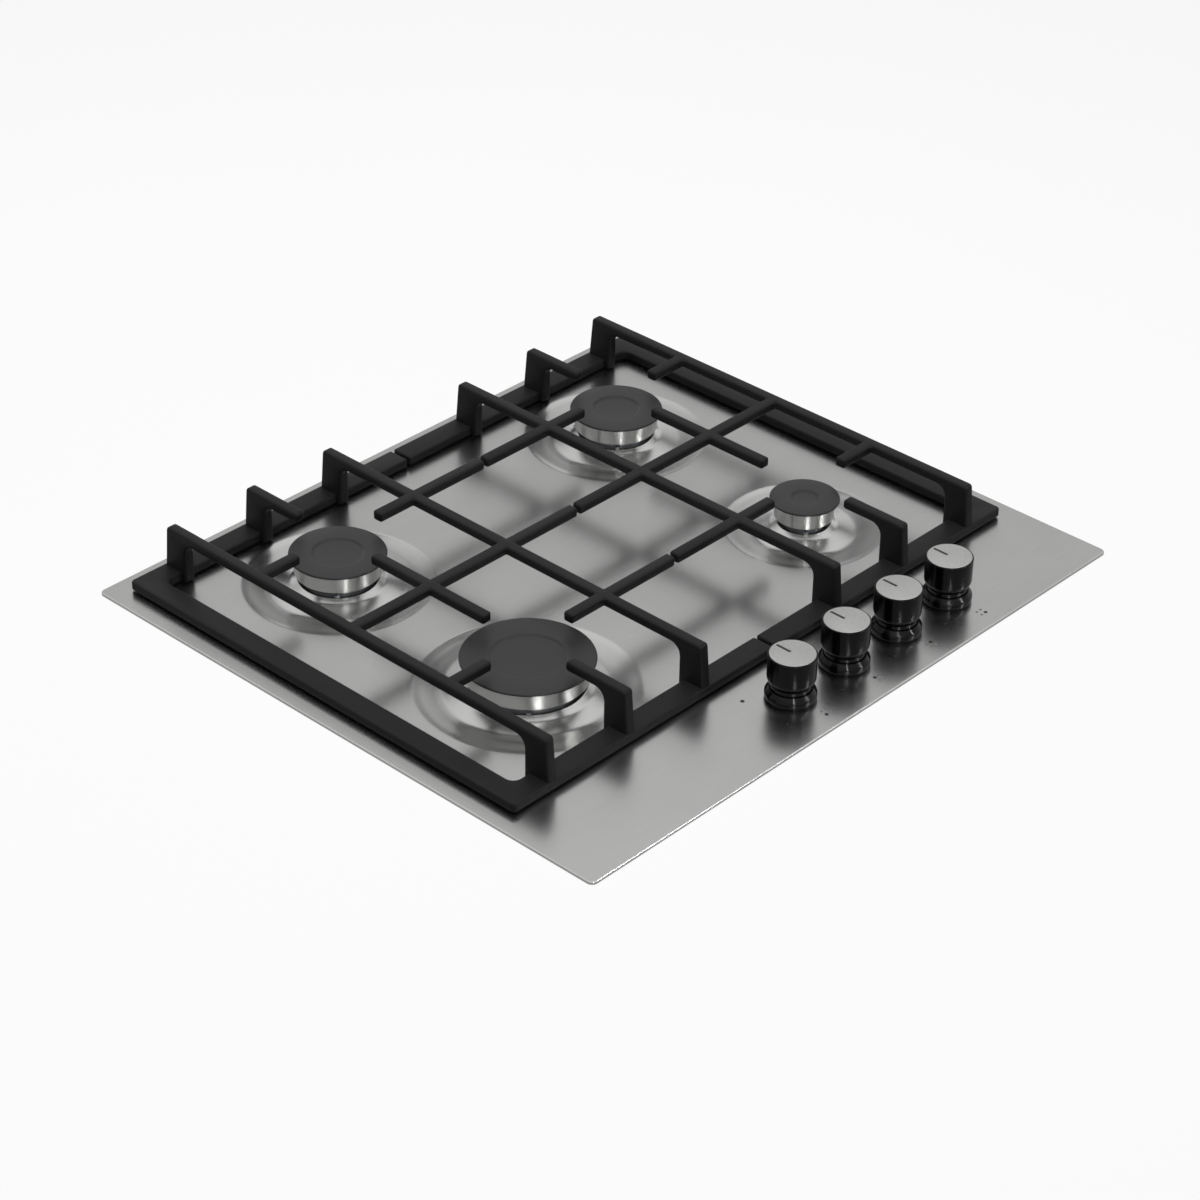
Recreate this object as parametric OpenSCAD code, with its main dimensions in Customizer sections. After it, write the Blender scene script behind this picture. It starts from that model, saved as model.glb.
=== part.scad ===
// Built-in gas hob with four burners, two cast grates and four front knobs.
// Millimetres, +Z up. The origin is the middle of the casing's underside,
// which is also the middle of the plate seen from above; the front is -Y.

/* [Plate] */
// Width of the steel plate, left to right
plate_w = 580; // [570:1:600]
// Depth of the steel plate, front to back
plate_d = 510; // [505:1:530]
// Thickness of the steel sheet
plate_t = 1; // [0.8:0.1:1.4]
// Radius of the plate's corners
plate_corner_r = 5; // [2:0.5:12]
// Drop of the folded rim, from the plate's top face to its lower edge
rim_h = 2.2; // [1.8:0.1:3.5]

/* [Burners] */
// Share of the plate's width from its centre line to a burner
burner_x_share = 0.26552; // [0.259:0.001:0.272]
// Share of the plate's depth from its middle to the front burners
burner_front_share = 0.12353; // [0.118:0.001:0.129]
// Share of the plate's depth from its middle to the back burners
burner_back_share = 0.26863; // [0.263:0.001:0.274]
// Cap radius of the large front left burner
rapid_cap_r = 50; // [48:0.5:52]
// Cap radius of the two middle-sized back burners
semi_cap_r = 37.5; // [36:0.5:40]
// Cap radius of the small front right burner
aux_cap_r = 27.5; // [26:0.5:30]
// Overhang of a cap past its burner head
cap_overhang = 4; // [3:0.5:5]
// Height of a cap's seat above the plate
head_top = 24.5; // [23:0.5:26]
// Thickness of a cap at its edge
cap_t = 1.6; // [1.2:0.1:2.4]
// Height of the burner head's underside above the plate
head_bottom = 10; // [9:0.5:11]
// Outer radius of the pressed dish round the large burner
rapid_dish_r = 79; // [77:0.5:80]
// Outer radius of the pressed dish round a middle-sized burner
semi_dish_r = 69; // [60:0.5:72]
// Outer radius of the pressed dish round the small burner
aux_dish_r = 58; // [50:0.5:62]
// Depth of the pressed dishes
dish_depth = 3; // [2:0.5:4]
// Height of the pressed collar that carries a burner
collar_h = 5; // [4:0.5:6]

/* [Grates] */
// Height of the grates' top above the plate
grate_h = 43; // [41:0.5:48]
// Gap between a grate's side and the plate's edge
grate_side_gap = 17.5; // [12:0.5:20]
// Depth of the plate that the grates leave free, front and back together
grate_free_d = 105; // [100:1:115]
// Gap between the two grates
grate_split = 3; // [2:0.5:5]
// Width of a grate bar
bar_w = 9; // [7:0.5:11]
// Height of a grate bar
bar_h = 8; // [6.5:0.5:9]
// Sideways distance between neighbouring bars
bar_pitch = 79.5; // [76:0.5:82]
// Distance of the finger tips from a burner's axis
finger_gap = 41; // [38:0.5:46]
// Thickness of the grate's base frame
base_t = 7.3; // [6:0.1:9]
// Gap between the base frame and the plate, held by the rubber feet
base_gap = 1.2; // [0.8:0.1:2]
// Width of the base frame along the sides
base_side_w = 19; // [15:0.5:22]
// Width of the base frame at the front and back
base_end_w = 19.5; // [17:0.5:22]
// Depth of an upright, front to back
upright_d = 24; // [20:0.5:26]

/* [Knobs] */
// Distance between neighbouring knobs
knob_pitch = 60.5; // [58:0.5:64]
// Middle of the row of knobs, left to right
knob_row_x = 58.5; // [50:0.5:66]
// Distance of the row of knobs from the plate's front edge
knob_row_in = 47; // [44:0.5:50]
// Height of a knob's top above the plate
knob_top = 38; // [36:0.5:42]
// Radius of a knob's grip
knob_r = 18.1; // [17:0.1:19.5]
// Radius of the fixed ring under a knob
bezel_r = 19.3; // [18.8:0.1:21]
// Height of the fixed ring under a knob
bezel_h = 9.5; // [8:0.5:9.5]
// Travel of a knob when it is pushed to light the burner
push_travel = 3; // [2:0.5:3]

/* [Casing] */
// Depth of the casing under the plate
casing_h = 49; // [47:1:56]
// Distance of the casing's walls from the plate's edge
casing_inset = 15; // [13:0.5:18]
// Thickness of the casing's sheet
casing_t = 1; // [0.8:0.1:1.4]
// Thickness of the seal between plate and worktop past the rim's edge
seal_proud = 0.3; // [0.2:0.1:0.6]
// Width of the seal
seal_w = 10; // [6:0.5:12]

/* [Gas supply] */
// Radius of the gas rail that feeds the taps
rail_r = 7; // [6:0.5:8]
// Radius of a burner's gas tube
tube_r = 3; // [2.5:0.25:3.5]
// Wall of a gas tube
tube_wall = 1; // [0.7:0.1:1.2]
// Radius of the half-inch thread at the gas inlet
inlet_r = 10.48; // [9:0.1:11]
// Distance of the gas inlet from the casing's right wall
inlet_in = 25; // [23:1:35]

/* [Hidden] */
$fn = 72;

// The burners and the taps are counted front left, back left, back right, front right
FL = 0;
BL = 1;
BR = 2;
FR = 3;
ALL = [FL, BL, BR, FR];
sides = [-1, 1];

// One overrun for all cuts, and the clearances between pieces
overrun = 1;
fit_gap = 0.05;
loose_gap = 0.4;
touch_gap = 0.02;

// Height of the plate's top face above the casing's underside
top_z = casing_h + plate_t;
floor_z = casing_t;

// Sizes that follow the plate's
casing_w = plate_w - 2 * casing_inset;
casing_d = plate_d - 2 * casing_inset;
grate_w = plate_w - 2 * grate_side_gap;
grate_d = plate_d - grate_free_d;
burner_x = burner_x_share * plate_w;
burner_front_y = -burner_front_share * plate_d;
burner_back_y = burner_back_share * plate_d;
knob_row_y = knob_row_in - plate_d / 2;
inlet_x = casing_w / 2 - inlet_in;

// Burner places and sizes, in the order of ALL
burner_at = [
    [-burner_x, burner_front_y],
    [-burner_x, burner_back_y],
    [burner_x, burner_back_y],
    [burner_x, burner_front_y]
];
cap_r = [rapid_cap_r, semi_cap_r, semi_cap_r, aux_cap_r];
dish_r = [rapid_dish_r, semi_dish_r, semi_dish_r, aux_dish_r];
// Share of a cap's radius that its sunk middle takes
cap_middle_share = [0.58, 0.54, 0.52, 0.4];
head_r = [for (r = cap_r) r - cap_overhang];
knob_x = [for (i = ALL) knob_row_x + (i - (len(ALL) - 1) / 2) * knob_pitch];

// Pressed dish and collar
dish_wall_w = 12;
collar_foot_w = 7;
collar_edge_w = 2;
burner_hole_w = 7;
hole_r = [for (r = head_r) r - burner_hole_w];

// Burner cup
cup_wall = 2.5;
cup_depth = 20;
cup_floor_t = 2;
cup_flange_t = 3;
cup_flange_edge = 2.2;
cup_r = [for (r = hole_r) r - loose_gap];
boss_r = 8;
boss_top = -17;
boss_bottom = -36;
port_z = -29;
port_r = 5;
port_reach = 14;
tube_seat = 5;
gas_way_r = 2;
// Direction in which a cup's gas port looks
port_turn = [-90, 0, 180, -90];

// Lugs that hold the electrode and the thermocouple beside a burner
probe_gap = 4.5;
electrode_turn = 30;
thermocouple_turn = 60;
lug_w = 10;
lug_top = -8;
lug_t = 5;
lug_edge = 4.5;
ceramic_r = 2.6;
ceramic_bottom = -17;
ceramic_top = 14;
electrode_tip_r = 0.8;
electrode_tip_top = 21;
sheath_r = 2.6;
sheath_top = 9;
hot_tip_r = 1.6;
hot_tip_top = 20;
probe_hole_r = 3.4;

// Cup screws
cup_screw_r = 1.5;
cup_screw_head_r = 2.2;
cup_screw_head_h = 1.5;
cup_screw_l = 8;
cup_screw_count = 3;
cup_screw_in = 2.5;
cup_screw_turn = 105;

// Injector
injector_r = 3;
injector_hex_r = 5.5;
injector_hex_h = 4;
injector_nose_r = 2.5;
injector_nose_h = 2;
injector_thread = 8;
injector_jet_r = 0.5;

// Burner head
head_wall = 4;
head_base_t = 2.5;
skirt_h = 4;
skirt_wall = 2;
venturi_r = 6.5;
venturi_bore_r = 4.5;
venturi_bottom = -9;
flame_slot_w = 2;
flame_slot_h = 2.2;
flame_pitch = 7;

// Burner cap
cap_lug_h = 3;
cap_lug_wall = 2;
cap_middle_depth = 0.6;
cap_edge_r = 0.5;

// Grates
grate_y = (burner_front_y + burner_back_y) / 2;
grate_front = grate_y - grate_d / 2;
grate_back = grate_y + grate_d / 2;
outer_bar_x = burner_x + bar_pitch;
inner_bar_x = burner_x - bar_pitch;
bar_edge = 2.2;
base_corner_r = 4;
base_inner_r = 7;
upright_inset = 0.5;
upright_lean = 4;
upright_edge = 3;
upright_fillet = 9;

// Rubber feet of the grates
foot_r = 5;
foot_stem_r = 2.5;
foot_stem_h = 3;
foot_in = 60;

// Knobs, rings, discs and spindles
bezel_shoulder = 3;
bezel_floor_t = 1.5;
bezel_neck_r = 8;
bezel_neck_l = 2.5;
knob_stem_r = 15.3;
stem_gap = 0.5;
knob_stem_bottom = bezel_floor_t + push_travel + stem_gap;
knob_flare_start = 13;
knob_flare_end = 19;
knob_skin = 2.3;
knob_crown = 4.2;
knob_boss_r = 7;
knob_boss_bottom = 8;
disc_r = 17;
disc_t = 1.2;
disc_proud = 0.3;
spindle_r = 4;
spindle_flat = 3;
spindle_top = 32;
flat_bottom = 10;
spindle_round_bottom = -15;
tongue_bottom = -22.5;
tongue_w = 7;
tongue_t = 3;
collar_r = 5.9;
collar_z = -6.8;
collar_t = 1.5;
bezel_bore_r = knob_stem_r + loose_gap + fit_gap;

// Tap body, in the tap's own place under its knob
tap_w = 28;
tap_front = -17;
tap_back = 14;
tap_bottom = -42;
tap_top = -14;
plug_r = 7;
plug_bottom = -34;
plug_top = -18.5;
plug_bore_top = -18;
plug_slot_bottom = tongue_bottom - push_travel - stem_gap;
chamber_r = 6;
chamber_bottom = -39;
neck_r = 8;
neck_top = -6;
pocket_r = 6.3;
pocket_bottom = -13;
inlet_way_z = -30;
inlet_way_r = 2.2;
outlet_x = -4.5;
outlet_z = -36.5;
// Turn of a plug from off to full flame
full_flame_turn = 54;

// Magnet unit of a tap
magnet_x = 7;
magnet_r = 4.5;
magnet_seat = 8;
magnet_hex_r = 5.5;
magnet_hex_t = 4;
magnet_end_r = 3;
magnet_l = 14;

// Spring of a knob
spring_wire_r = 0.45;
spring_mean_r = 5.1;
spring_turns = 3;
spring_steps = 10;
spring_sides = 4;

// Gas rail and inlet
rail_front_d = 20;
rail_y = knob_row_y - rail_front_d;
rail_z = top_z + inlet_way_z;
rail_wall = 1.5;
rail_end_l = 22;
cradle_t = 1.5;
cradle_w = 20;
cradle_drop = 1;
fitting_hex_r = 13;
fitting_l = 17;
pipe_seat = 6;
inlet_bore_r = 5.5;
inlet_thread_l = 12;
inlet_relief_l = 2;
inlet_relief_r = 10.1;
wall_hole_gap = 0.3;

// Rail screws
rail_screw_x = 9;
rail_screw_r = 1.8;
rail_screw_head_r = 3;
rail_screw_head_h = 1.6;
rail_screw_l = 17;

// Levels of the tubes and leads over the casing's underside
tube_z = top_z + port_z;
lead_z = 12;
spark_lead_z = 8;
lead_r = 1;
spark_lead_r = 1.2;
// Bends of the tubes and leads, and the sides of their round sections
tube_bend = 7;
lead_bend = 5;
bend_steps = 3;
tube_sides = 10;
wire_sides = 6;
harness_drop = 11;
harness_z = top_z - harness_drop;

// Ignition module and switches
module_w = 66;
module_d = 42;
module_h = 26;
module_y = 100;
module_tab_l = 11;
module_tab_w = 16;
module_tab_t = 2;
module_screw_r = 1.6;
module_screw_head_r = 3.2;
module_screw_head_h = 2;
module_boss_r = 4;
module_boss_h = 3;
spark_port_y = 10;
spark_port_r = 3;
spark_port_l = 4;
switch_w = 26;
switch_front = -11;
switch_back = 13;
switch_h = 6;
harness_y = 10;
harness_plug = [12, 8, 7];
harness_splice = [10, 6, 5];

// Cable gland in the back wall
gland_in_x = 125;
gland_x = gland_in_x - casing_w / 2;
gland_z = 20;
gland_r = 8;
gland_bore_r = 4;
gland_flange_r = 11;
gland_flange_t = 3;
gland_out = 12;
gland_in = 11;
gland_nut_t = 4;
gland_nut_r = 11.5;

// Screwed tabs that hold the casing to the plate
tab_w = 24;
tab_h = 9;
tab_t = 1.2;
tab_y = 175;
tray_screw_r = 1.5;
tray_screw_head_r = 3;
tray_screw_head_h = 1.5;
tray_screw_l = 6;

// Worktop brackets and their screws
bracket_y = 150;
bracket_w = 20;
bracket_t = 1.5;
bracket_foot_z = 2;
bracket_leg_h = 24;
bracket_foot_l = 14.5;
bracket_screw_z = 18;
clamp_screw_r = 2.5;
clamp_screw_head_r = 4.5;
clamp_screw_head_h = 1.4;
clamp_screw_l = 8;
clamp_screw_in = 10;
clamp_shoulder_r = 3;

// Small shapes that several pieces share

// A flat rectangle with round corners, centred
module round_rect(w, d, r) {
    square([w - 2 * r, d], center = true);
    square([w, d - 2 * r], center = true);
    for (sx = sides, sy = sides)
        translate([sx * (w / 2 - r), sy * (d / 2 - r)]) circle(r);
}

// A flat rectangle from x0 to x1 and y0 to y1 whose two corners at x1 are round
module half_round_rect(x0, x1, y0, y1, r) {
    translate([x0, y0]) square([x1 - x0 - r, y1 - y0]);
    translate([x0, y0 + r]) square([x1 - x0, y1 - y0 - 2 * r]);
    for (y = [y0 + r, y1 - r])
        translate([x1 - r, y]) circle(r);
}

// A round rod from point a to point b
module rod(a, b, r) {
    step = b - a;
    reach = norm(step);
    translate(a)
        rotate([0, acos(step[2] / reach), atan2(step[1], step[0])])
            cylinder(h = reach, r = r);
}

// A round rod with one square corner, closed by a ball
module cornered_rod(a, corner, b, r) {
    rod(a, corner, r);
    rod(corner, b, r);
    translate(corner) sphere(r);
}

// A route with each of its corners drawn as a curve that starts at the cut before it
function unit(v) = v / norm(v);
function bend(p, before, after, cut) = let(
    from = p + cut * unit(before - p),
    to = p + cut * unit(after - p)
) [
    for (s = [0 : bend_steps])
        let(t = s / bend_steps)
        (1 - t) * (1 - t) * from + 2 * t * (1 - t) * p + t * t * to
];
function rounded(points, cut) = let(last = len(points) - 1) concat(
    [points[0]],
    [for (k = [1 : last - 1]) each bend(points[k], points[k - 1], points[k + 1], cut)],
    [points[last]]
);

// Directions along a route, and directions across it that don't twist
function tangents(path) = let(last = len(path) - 1) [
    for (k = [0 : last])
        let(
            back = k == 0 ? path[1] - path[0] : path[k] - path[k - 1],
            ahead = k == last ? path[last] - path[last - 1] : path[k + 1] - path[k]
        )
        unit(unit(back) + unit(ahead))
];
function across(v, t) = unit(v - (v * t) * t);
function normals(t, k) = k == 0
    ? [across(abs(t[0][2]) < 0.9 ? [0, 0, 1] : [1, 0, 0], t[0])]
    : let(before = normals(t, k - 1)) concat(before, [across(before[k - 1], t[k])]);
function sweep_points(path, r, sides) = let(
    t = tangents(path),
    n = normals(t, len(path) - 1)
) [
    for (k = [0 : len(path) - 1], s = [0 : sides - 1])
        let(a = 360 * s / sides)
        path[k] + r * (cos(a) * n[k] + sin(a) * cross(t[k], n[k]))
];

// Faces of the sweep's wall, which starts at the point numbered first
function wall_faces(rings, sides, first, inward) = [
    for (k = [0 : rings - 2], s = [0 : sides - 1])
        let(
            a = first + k * sides + s,
            b = first + k * sides + (s + 1) % sides
        )
        each inward
            ? [[a, b, b + sides], [a, b + sides, a + sides]]
            : [[a, b + sides, b], [a, a + sides, b + sides]]
];

// A solid wire along a route
module wire(path, r, sides) {
    end = (len(path) - 1) * sides;
    start_cap = [for (s = [1 : sides - 2]) [0, s, s + 1]];
    end_cap = [for (s = [1 : sides - 2]) [end, end + s + 1, end + s]];
    polyhedron(
        points = sweep_points(path, r, sides),
        faces = concat(wall_faces(len(path), sides, 0, false), start_cap, end_cap)
    );
}

// A hollow pipe along a route
module pipe(path, r, wall, sides) {
    rings = len(path);
    inside = rings * sides;
    end = (rings - 1) * sides;
    caps = [
        for (s = [0 : sides - 1])
            let(t = (s + 1) % sides)
            each [
                [s, t, inside + t], [s, inside + t, inside + s],
                [end + s, inside + end + t, end + t], [end + s, inside + end + s, inside + end + t]
            ]
    ];
    polyhedron(
        points = concat(sweep_points(path, r, sides), sweep_points(path, r - wall, sides)),
        faces = concat(
            wall_faces(rings, sides, 0, false),
            wall_faces(rings, sides, inside, true),
            caps
        )
    );
}

// A screw that points down, with its head's underside at z = 0
module screw(r, l, head_r, head_h) {
    slot_w = head_h / 2;
    difference() {
        union() {
            translate([0, 0, -l]) cylinder(h = l + head_h / 2, r = r);
            cylinder(h = head_h, r = head_r);
        }
        translate([0, 0, head_h])
            cube([2 * head_r + overrun, slot_w, head_h], center = true);
    }
}

// Puts its children at burner i, with z = 0 at the plate's top face
module at_burner(i) {
    translate([burner_at[i][0], burner_at[i][1], top_z]) children();
}

// Puts its children at knob i, with z = 0 at the plate's top face
module at_knob(i) {
    translate([knob_x[i], knob_row_y, top_z]) children();
}

// A point beside burner i, out past its head at the angle turn and the height z
function beside(i, turn, z) = [
    burner_at[i][0] + (head_r[i] + probe_gap) * cos(turn),
    burner_at[i][1] + (head_r[i] + probe_gap) * sin(turn),
    z
];

// The places of the three screws that hold cup i, round the burner's axis
module at_cup_screws(i) {
    for (k = [1 : cup_screw_count])
        rotate(cup_screw_turn + k * 360 / cup_screw_count)
            translate([hole_r[i] + cup_screw_in, 0, 0]) children();
}

// The pressed shape round burner i as a section of revolution
module dish_section(i) {
    edge = head_r[i] - collar_edge_w;
    foot = head_r[i] + collar_foot_w;
    line = [
        [dish_r[i] + overrun, 0],
        [dish_r[i], 0],
        [dish_r[i] - dish_wall_w, -dish_depth],
        [foot, -dish_depth],
        [edge, collar_h],
        [hole_r[i], collar_h]
    ];
    last = len(line) - 1;
    under = [for (k = [0 : last]) line[last - k] - [0, plate_t]];
    polygon(concat(line, under));
}

// A tab under the plate, with the screw hole that takes the casing's screw
module plate_tab() {
    inner_x = casing_w / 2 - casing_t - touch_gap;
    translate([inner_x - tab_t, -tab_w / 2, top_z - plate_t - tab_h])
        cube([tab_t, tab_w, tab_h + plate_t / 2]);
}

// Puts its children at the four casing screws, pointing outwards along +X
module at_tray_screws() {
    for (sx = sides, sy = sides)
        rotate(sx > 0 ? 0 : 180)
            translate([casing_w / 2, sy * tab_y, top_z - plate_t - tab_h / 2]) children();
}

module top_plate() {
    color("silver")
    difference() {
        union() {
            difference() {
                translate([0, 0, top_z - rim_h])
                    linear_extrude(rim_h) round_rect(plate_w, plate_d, plate_corner_r);
                translate([0, 0, top_z - rim_h - overrun])
                    linear_extrude(rim_h - plate_t + overrun)
                        round_rect(plate_w - 2 * plate_t, plate_d - 2 * plate_t, plate_corner_r - plate_t);
                for (i = ALL)
                    at_burner(i) translate([0, 0, -rim_h]) cylinder(h = rim_h + overrun, r = dish_r[i]);
            }
            for (i = ALL)
                at_burner(i) rotate_extrude() dish_section(i);
            for (sx = sides, sy = sides)
                rotate(sx > 0 ? 0 : 180) translate([0, sy * tab_y, 0]) plate_tab();
        }
        for (i = ALL) {
            at_burner(i) at_cup_screws(i)
                translate([0, 0, collar_h - 2 * plate_t]) cylinder(h = 3 * plate_t, r = cup_screw_r + fit_gap);
            for (turn = [electrode_turn, thermocouple_turn])
                translate(beside(i, turn, top_z - dish_depth - 2 * plate_t))
                    cylinder(h = collar_h + dish_depth + 3 * plate_t, r = probe_hole_r);
            at_knob(i) translate([0, 0, -plate_t - overrun])
                cylinder(h = plate_t + 2 * overrun, r = bezel_neck_r + fit_gap);
        }
        at_tray_screws()
            rotate([0, 90, 0]) translate([0, 0, -tray_screw_l])
                cylinder(h = tray_screw_l, r = tray_screw_r + touch_gap);
    }
}

// A sheet upstand that cradles the rail, standing across the X direction
module cradle() {
    translate([-cradle_t / 2, -cradle_w / 2, floor_z - cradle_drop / 2])
        cube([cradle_t, cradle_w, rail_z - floor_z]);
}

module bottom_tray() {
    wall_x = casing_w / 2;
    color("gainsboro")
    difference() {
        union() {
            difference() {
                linear_extrude(casing_h) round_rect(casing_w, casing_d, plate_corner_r);
                translate([0, 0, floor_z])
                    linear_extrude(casing_h)
                        round_rect(casing_w - 2 * casing_t, casing_d - 2 * casing_t, plate_corner_r - casing_t);
            }
            for (x = [knob_x[FL] + knob_pitch / 2, knob_x[BR] + knob_pitch / 2, (knob_x[FR] + inlet_x) / 2])
                translate([x, rail_y, 0]) cradle();
            for (y = [burner_front_y, burner_back_y])
                translate([inlet_x, y, 0]) rotate(90) cradle();
            for (sy = sides)
                translate([0, module_y + sy * (module_d + module_tab_l) / 2, 0])
                    cylinder(h = floor_z + module_boss_h, r = module_boss_r);
        }
        rod([knob_x[FL] - knob_pitch, rail_y, rail_z], [casing_w / 2 - 2 * casing_t, rail_y, rail_z], rail_r + fit_gap);
        rod([inlet_x, rail_y, rail_z], [inlet_x, casing_d / 2 - 2 * casing_t, rail_z], rail_r + fit_gap);
        rod([inlet_x, casing_d / 2 - 3 * casing_t, rail_z], [inlet_x, casing_d / 2 + overrun, rail_z],
            inlet_r + wall_hole_gap);
        rod([gland_x, casing_d / 2 - 3 * casing_t, gland_z], [gland_x, casing_d / 2 + overrun, gland_z],
            gland_r + fit_gap);
        at_tray_screws()
            rotate([0, 90, 0]) translate([0, 0, -3 * casing_t])
                cylinder(h = 3 * casing_t + overrun, r = tray_screw_r + fit_gap);
        for (sx = sides, sy = sides)
            rotate(sx > 0 ? 0 : 180) translate([wall_x - 3 * casing_t, sy * bracket_y, bracket_screw_z])
                rotate([0, 90, 0]) cylinder(h = 3 * casing_t + overrun, r = tray_screw_r + fit_gap);
        for (sy = sides)
            translate([0, module_y + sy * (module_d + module_tab_l) / 2, floor_z / 2])
                cylinder(h = floor_z + module_boss_h, r = module_screw_r + touch_gap);
    }
}

module worktop_seal() {
    seal_outer = 2 * (plate_t + loose_gap);
    seal_t = rim_h - plate_t + seal_proud;
    color("dimgray")
    translate([0, 0, top_z - rim_h - seal_proud])
        linear_extrude(seal_t)
            difference() {
                round_rect(plate_w - seal_outer, plate_d - seal_outer, plate_corner_r - plate_t);
                round_rect(plate_w - seal_outer - 2 * seal_w, plate_d - seal_outer - 2 * seal_w, plate_t);
            }
}

// One worktop bracket at the casing's right wall, centred front to back
module fixing_bracket() {
    wall_x = casing_w / 2;
    difference() {
        union() {
            translate([wall_x, -bracket_w / 2, bracket_foot_z])
                cube([bracket_t, bracket_w, bracket_leg_h]);
            translate([wall_x, -bracket_w / 2, bracket_foot_z])
                cube([bracket_foot_l, bracket_w, bracket_t]);
        }
        translate([wall_x - overrun, 0, bracket_screw_z])
            rotate([0, 90, 0]) cylinder(h = bracket_t + 2 * overrun, r = tray_screw_r + fit_gap);
        translate([wall_x + clamp_screw_in, 0, bracket_foot_z - overrun])
            cylinder(h = bracket_t + 2 * overrun, r = clamp_shoulder_r + touch_gap);
    }
}

module fixing_brackets() {
    color("lightgray")
    for (sx = sides, sy = sides)
        rotate(sx > 0 ? 0 : 180) translate([0, sy * bracket_y, 0]) fixing_bracket();
}

module bracket_screws() {
    color("silver")
    for (sx = sides, sy = sides)
        rotate(sx > 0 ? 0 : 180) translate([casing_w / 2, sy * bracket_y, 0]) {
            translate([bracket_t, 0, bracket_screw_z])
                rotate([0, 90, 0]) screw(tray_screw_r, tray_screw_l, tray_screw_head_r, tray_screw_head_h);
            translate([clamp_screw_in, 0, bracket_foot_z])
                mirror([0, 0, 1]) screw(clamp_screw_r, clamp_screw_l, clamp_screw_head_r, clamp_screw_head_h);
            translate([clamp_screw_in, 0, bracket_foot_z])
                cylinder(h = bracket_t, r = clamp_shoulder_r);
        }
}

module tray_screws() {
    color("silver")
    at_tray_screws()
        rotate([0, 90, 0]) screw(tray_screw_r, tray_screw_l - touch_gap, tray_screw_head_r, tray_screw_head_h);
}

// The rail under the knobs and the pipe along the right wall to the inlet
rail_points = [
    [knob_x[FL] - rail_end_l, rail_y, rail_z],
    [inlet_x, rail_y, rail_z],
    [inlet_x, casing_d / 2 - casing_t - fitting_l + pipe_seat, rail_z]
];

module gas_rail() {
    bore_start = rail_points[0] + [rail_wall, 0, 0];
    bore_end = rail_points[2] + [0, overrun, 0];
    color("gray")
    difference() {
        cornered_rod(rail_points[0], rail_points[1], rail_points[2], rail_r);
        cornered_rod(bore_start, rail_points[1], bore_end, rail_r - rail_wall);
        for (i = ALL) {
            rod([knob_x[i], rail_y, rail_z], [knob_x[i], rail_y + rail_r + overrun, rail_z], inlet_way_r);
            for (s = sides)
                rod([knob_x[i] + s * rail_screw_x, rail_y - rail_r - overrun, rail_z],
                    [knob_x[i] + s * rail_screw_x, rail_y + rail_r + overrun, rail_z],
                    rail_screw_r + fit_gap);
        }
    }
}

module gas_inlet_fitting() {
    wall_y = casing_d / 2 - casing_t;
    color("goldenrod")
    translate([inlet_x, wall_y, rail_z]) rotate([-90, 0, 0])
        difference() {
            union() {
                translate([0, 0, -fitting_l]) cylinder(h = fitting_l - touch_gap, r = fitting_hex_r, $fn = 6);
                translate([0, 0, -overrun]) cylinder(h = overrun + inlet_relief_l, r = inlet_relief_r);
                translate([0, 0, inlet_relief_l]) cylinder(h = inlet_thread_l, r = inlet_r);
            }
            translate([0, 0, -fitting_l - overrun]) cylinder(h = pipe_seat + overrun, r = rail_r + fit_gap);
            translate([0, 0, -fitting_l]) cylinder(h = fitting_l + inlet_relief_l + inlet_thread_l + overrun, r = inlet_bore_r);
        }
}

module ignition_module() {
    base_z = floor_z + module_boss_h;
    color("#303438")
    translate([0, module_y, base_z]) {
        translate([-module_w / 2, -module_d / 2, 0]) cube([module_w, module_d, module_h]);
        for (sy = sides)
            difference() {
                translate([-module_tab_w / 2, sy > 0 ? module_d / 2 : -module_d / 2 - module_tab_l, 0])
                    cube([module_tab_w, module_tab_l, module_tab_t]);
                translate([0, sy * (module_d + module_tab_l) / 2, -overrun])
                    cylinder(h = module_tab_t + 2 * overrun, r = module_screw_r + fit_gap);
            }
        for (sx = sides, sy = sides)
            translate([sx * module_w / 2, sy * spark_port_y, spark_lead_z - base_z])
                rotate([0, sx * 90, 0]) cylinder(h = spark_port_l, r = spark_port_r);
    }
}

module module_screws() {
    head_z = floor_z + module_boss_h + module_tab_t;
    color("silver")
    for (sy = sides)
        translate([0, module_y + sy * (module_d + module_tab_l) / 2, head_z])
            screw(module_screw_r, module_tab_t + module_boss_h, module_screw_head_r, module_screw_head_h);
}

// Four switches round the taps' necks, joined by their harness to the module
module ignition_switches() {
    lead_x = knob_x[FL] + knob_pitch / 2;
    lead_y = knob_row_y + harness_y;
    face_y = module_y - module_d / 2;
    plug_z = floor_z + module_boss_h + module_h - harness_plug[2] / 2 - tube_wall;
    color("ivory") {
        for (i = ALL)
            at_knob(i)
                difference() {
                    translate([-switch_w / 2, switch_front, tap_top])
                        cube([switch_w, switch_back - switch_front, switch_h]);
                    translate([0, 0, tap_top - overrun])
                        cylinder(h = switch_h + 2 * overrun, r = neck_r + loose_gap);
                }
        for (i = [FL, BL, BR])
            rod([knob_x[i] + switch_w / 2 - overrun, lead_y, harness_z],
                [knob_x[i + 1] - switch_w / 2 + overrun, lead_y, harness_z], lead_r);
        translate([lead_x, lead_y, harness_z]) cube(harness_splice, center = true);
        wire(rounded([
            [lead_x, lead_y + harness_splice[1] / 2 + touch_gap, harness_z],
            [lead_x, grate_y, harness_z],
            [lead_x, face_y - 3 * harness_plug[1], plug_z],
            [lead_x, face_y - harness_plug[1] - touch_gap, plug_z]
        ], lead_bend), lead_r, wire_sides);
        translate([lead_x - harness_plug[0] / 2, face_y - harness_plug[1], plug_z - harness_plug[2] / 2])
            cube(harness_plug);
    }
}

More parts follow.
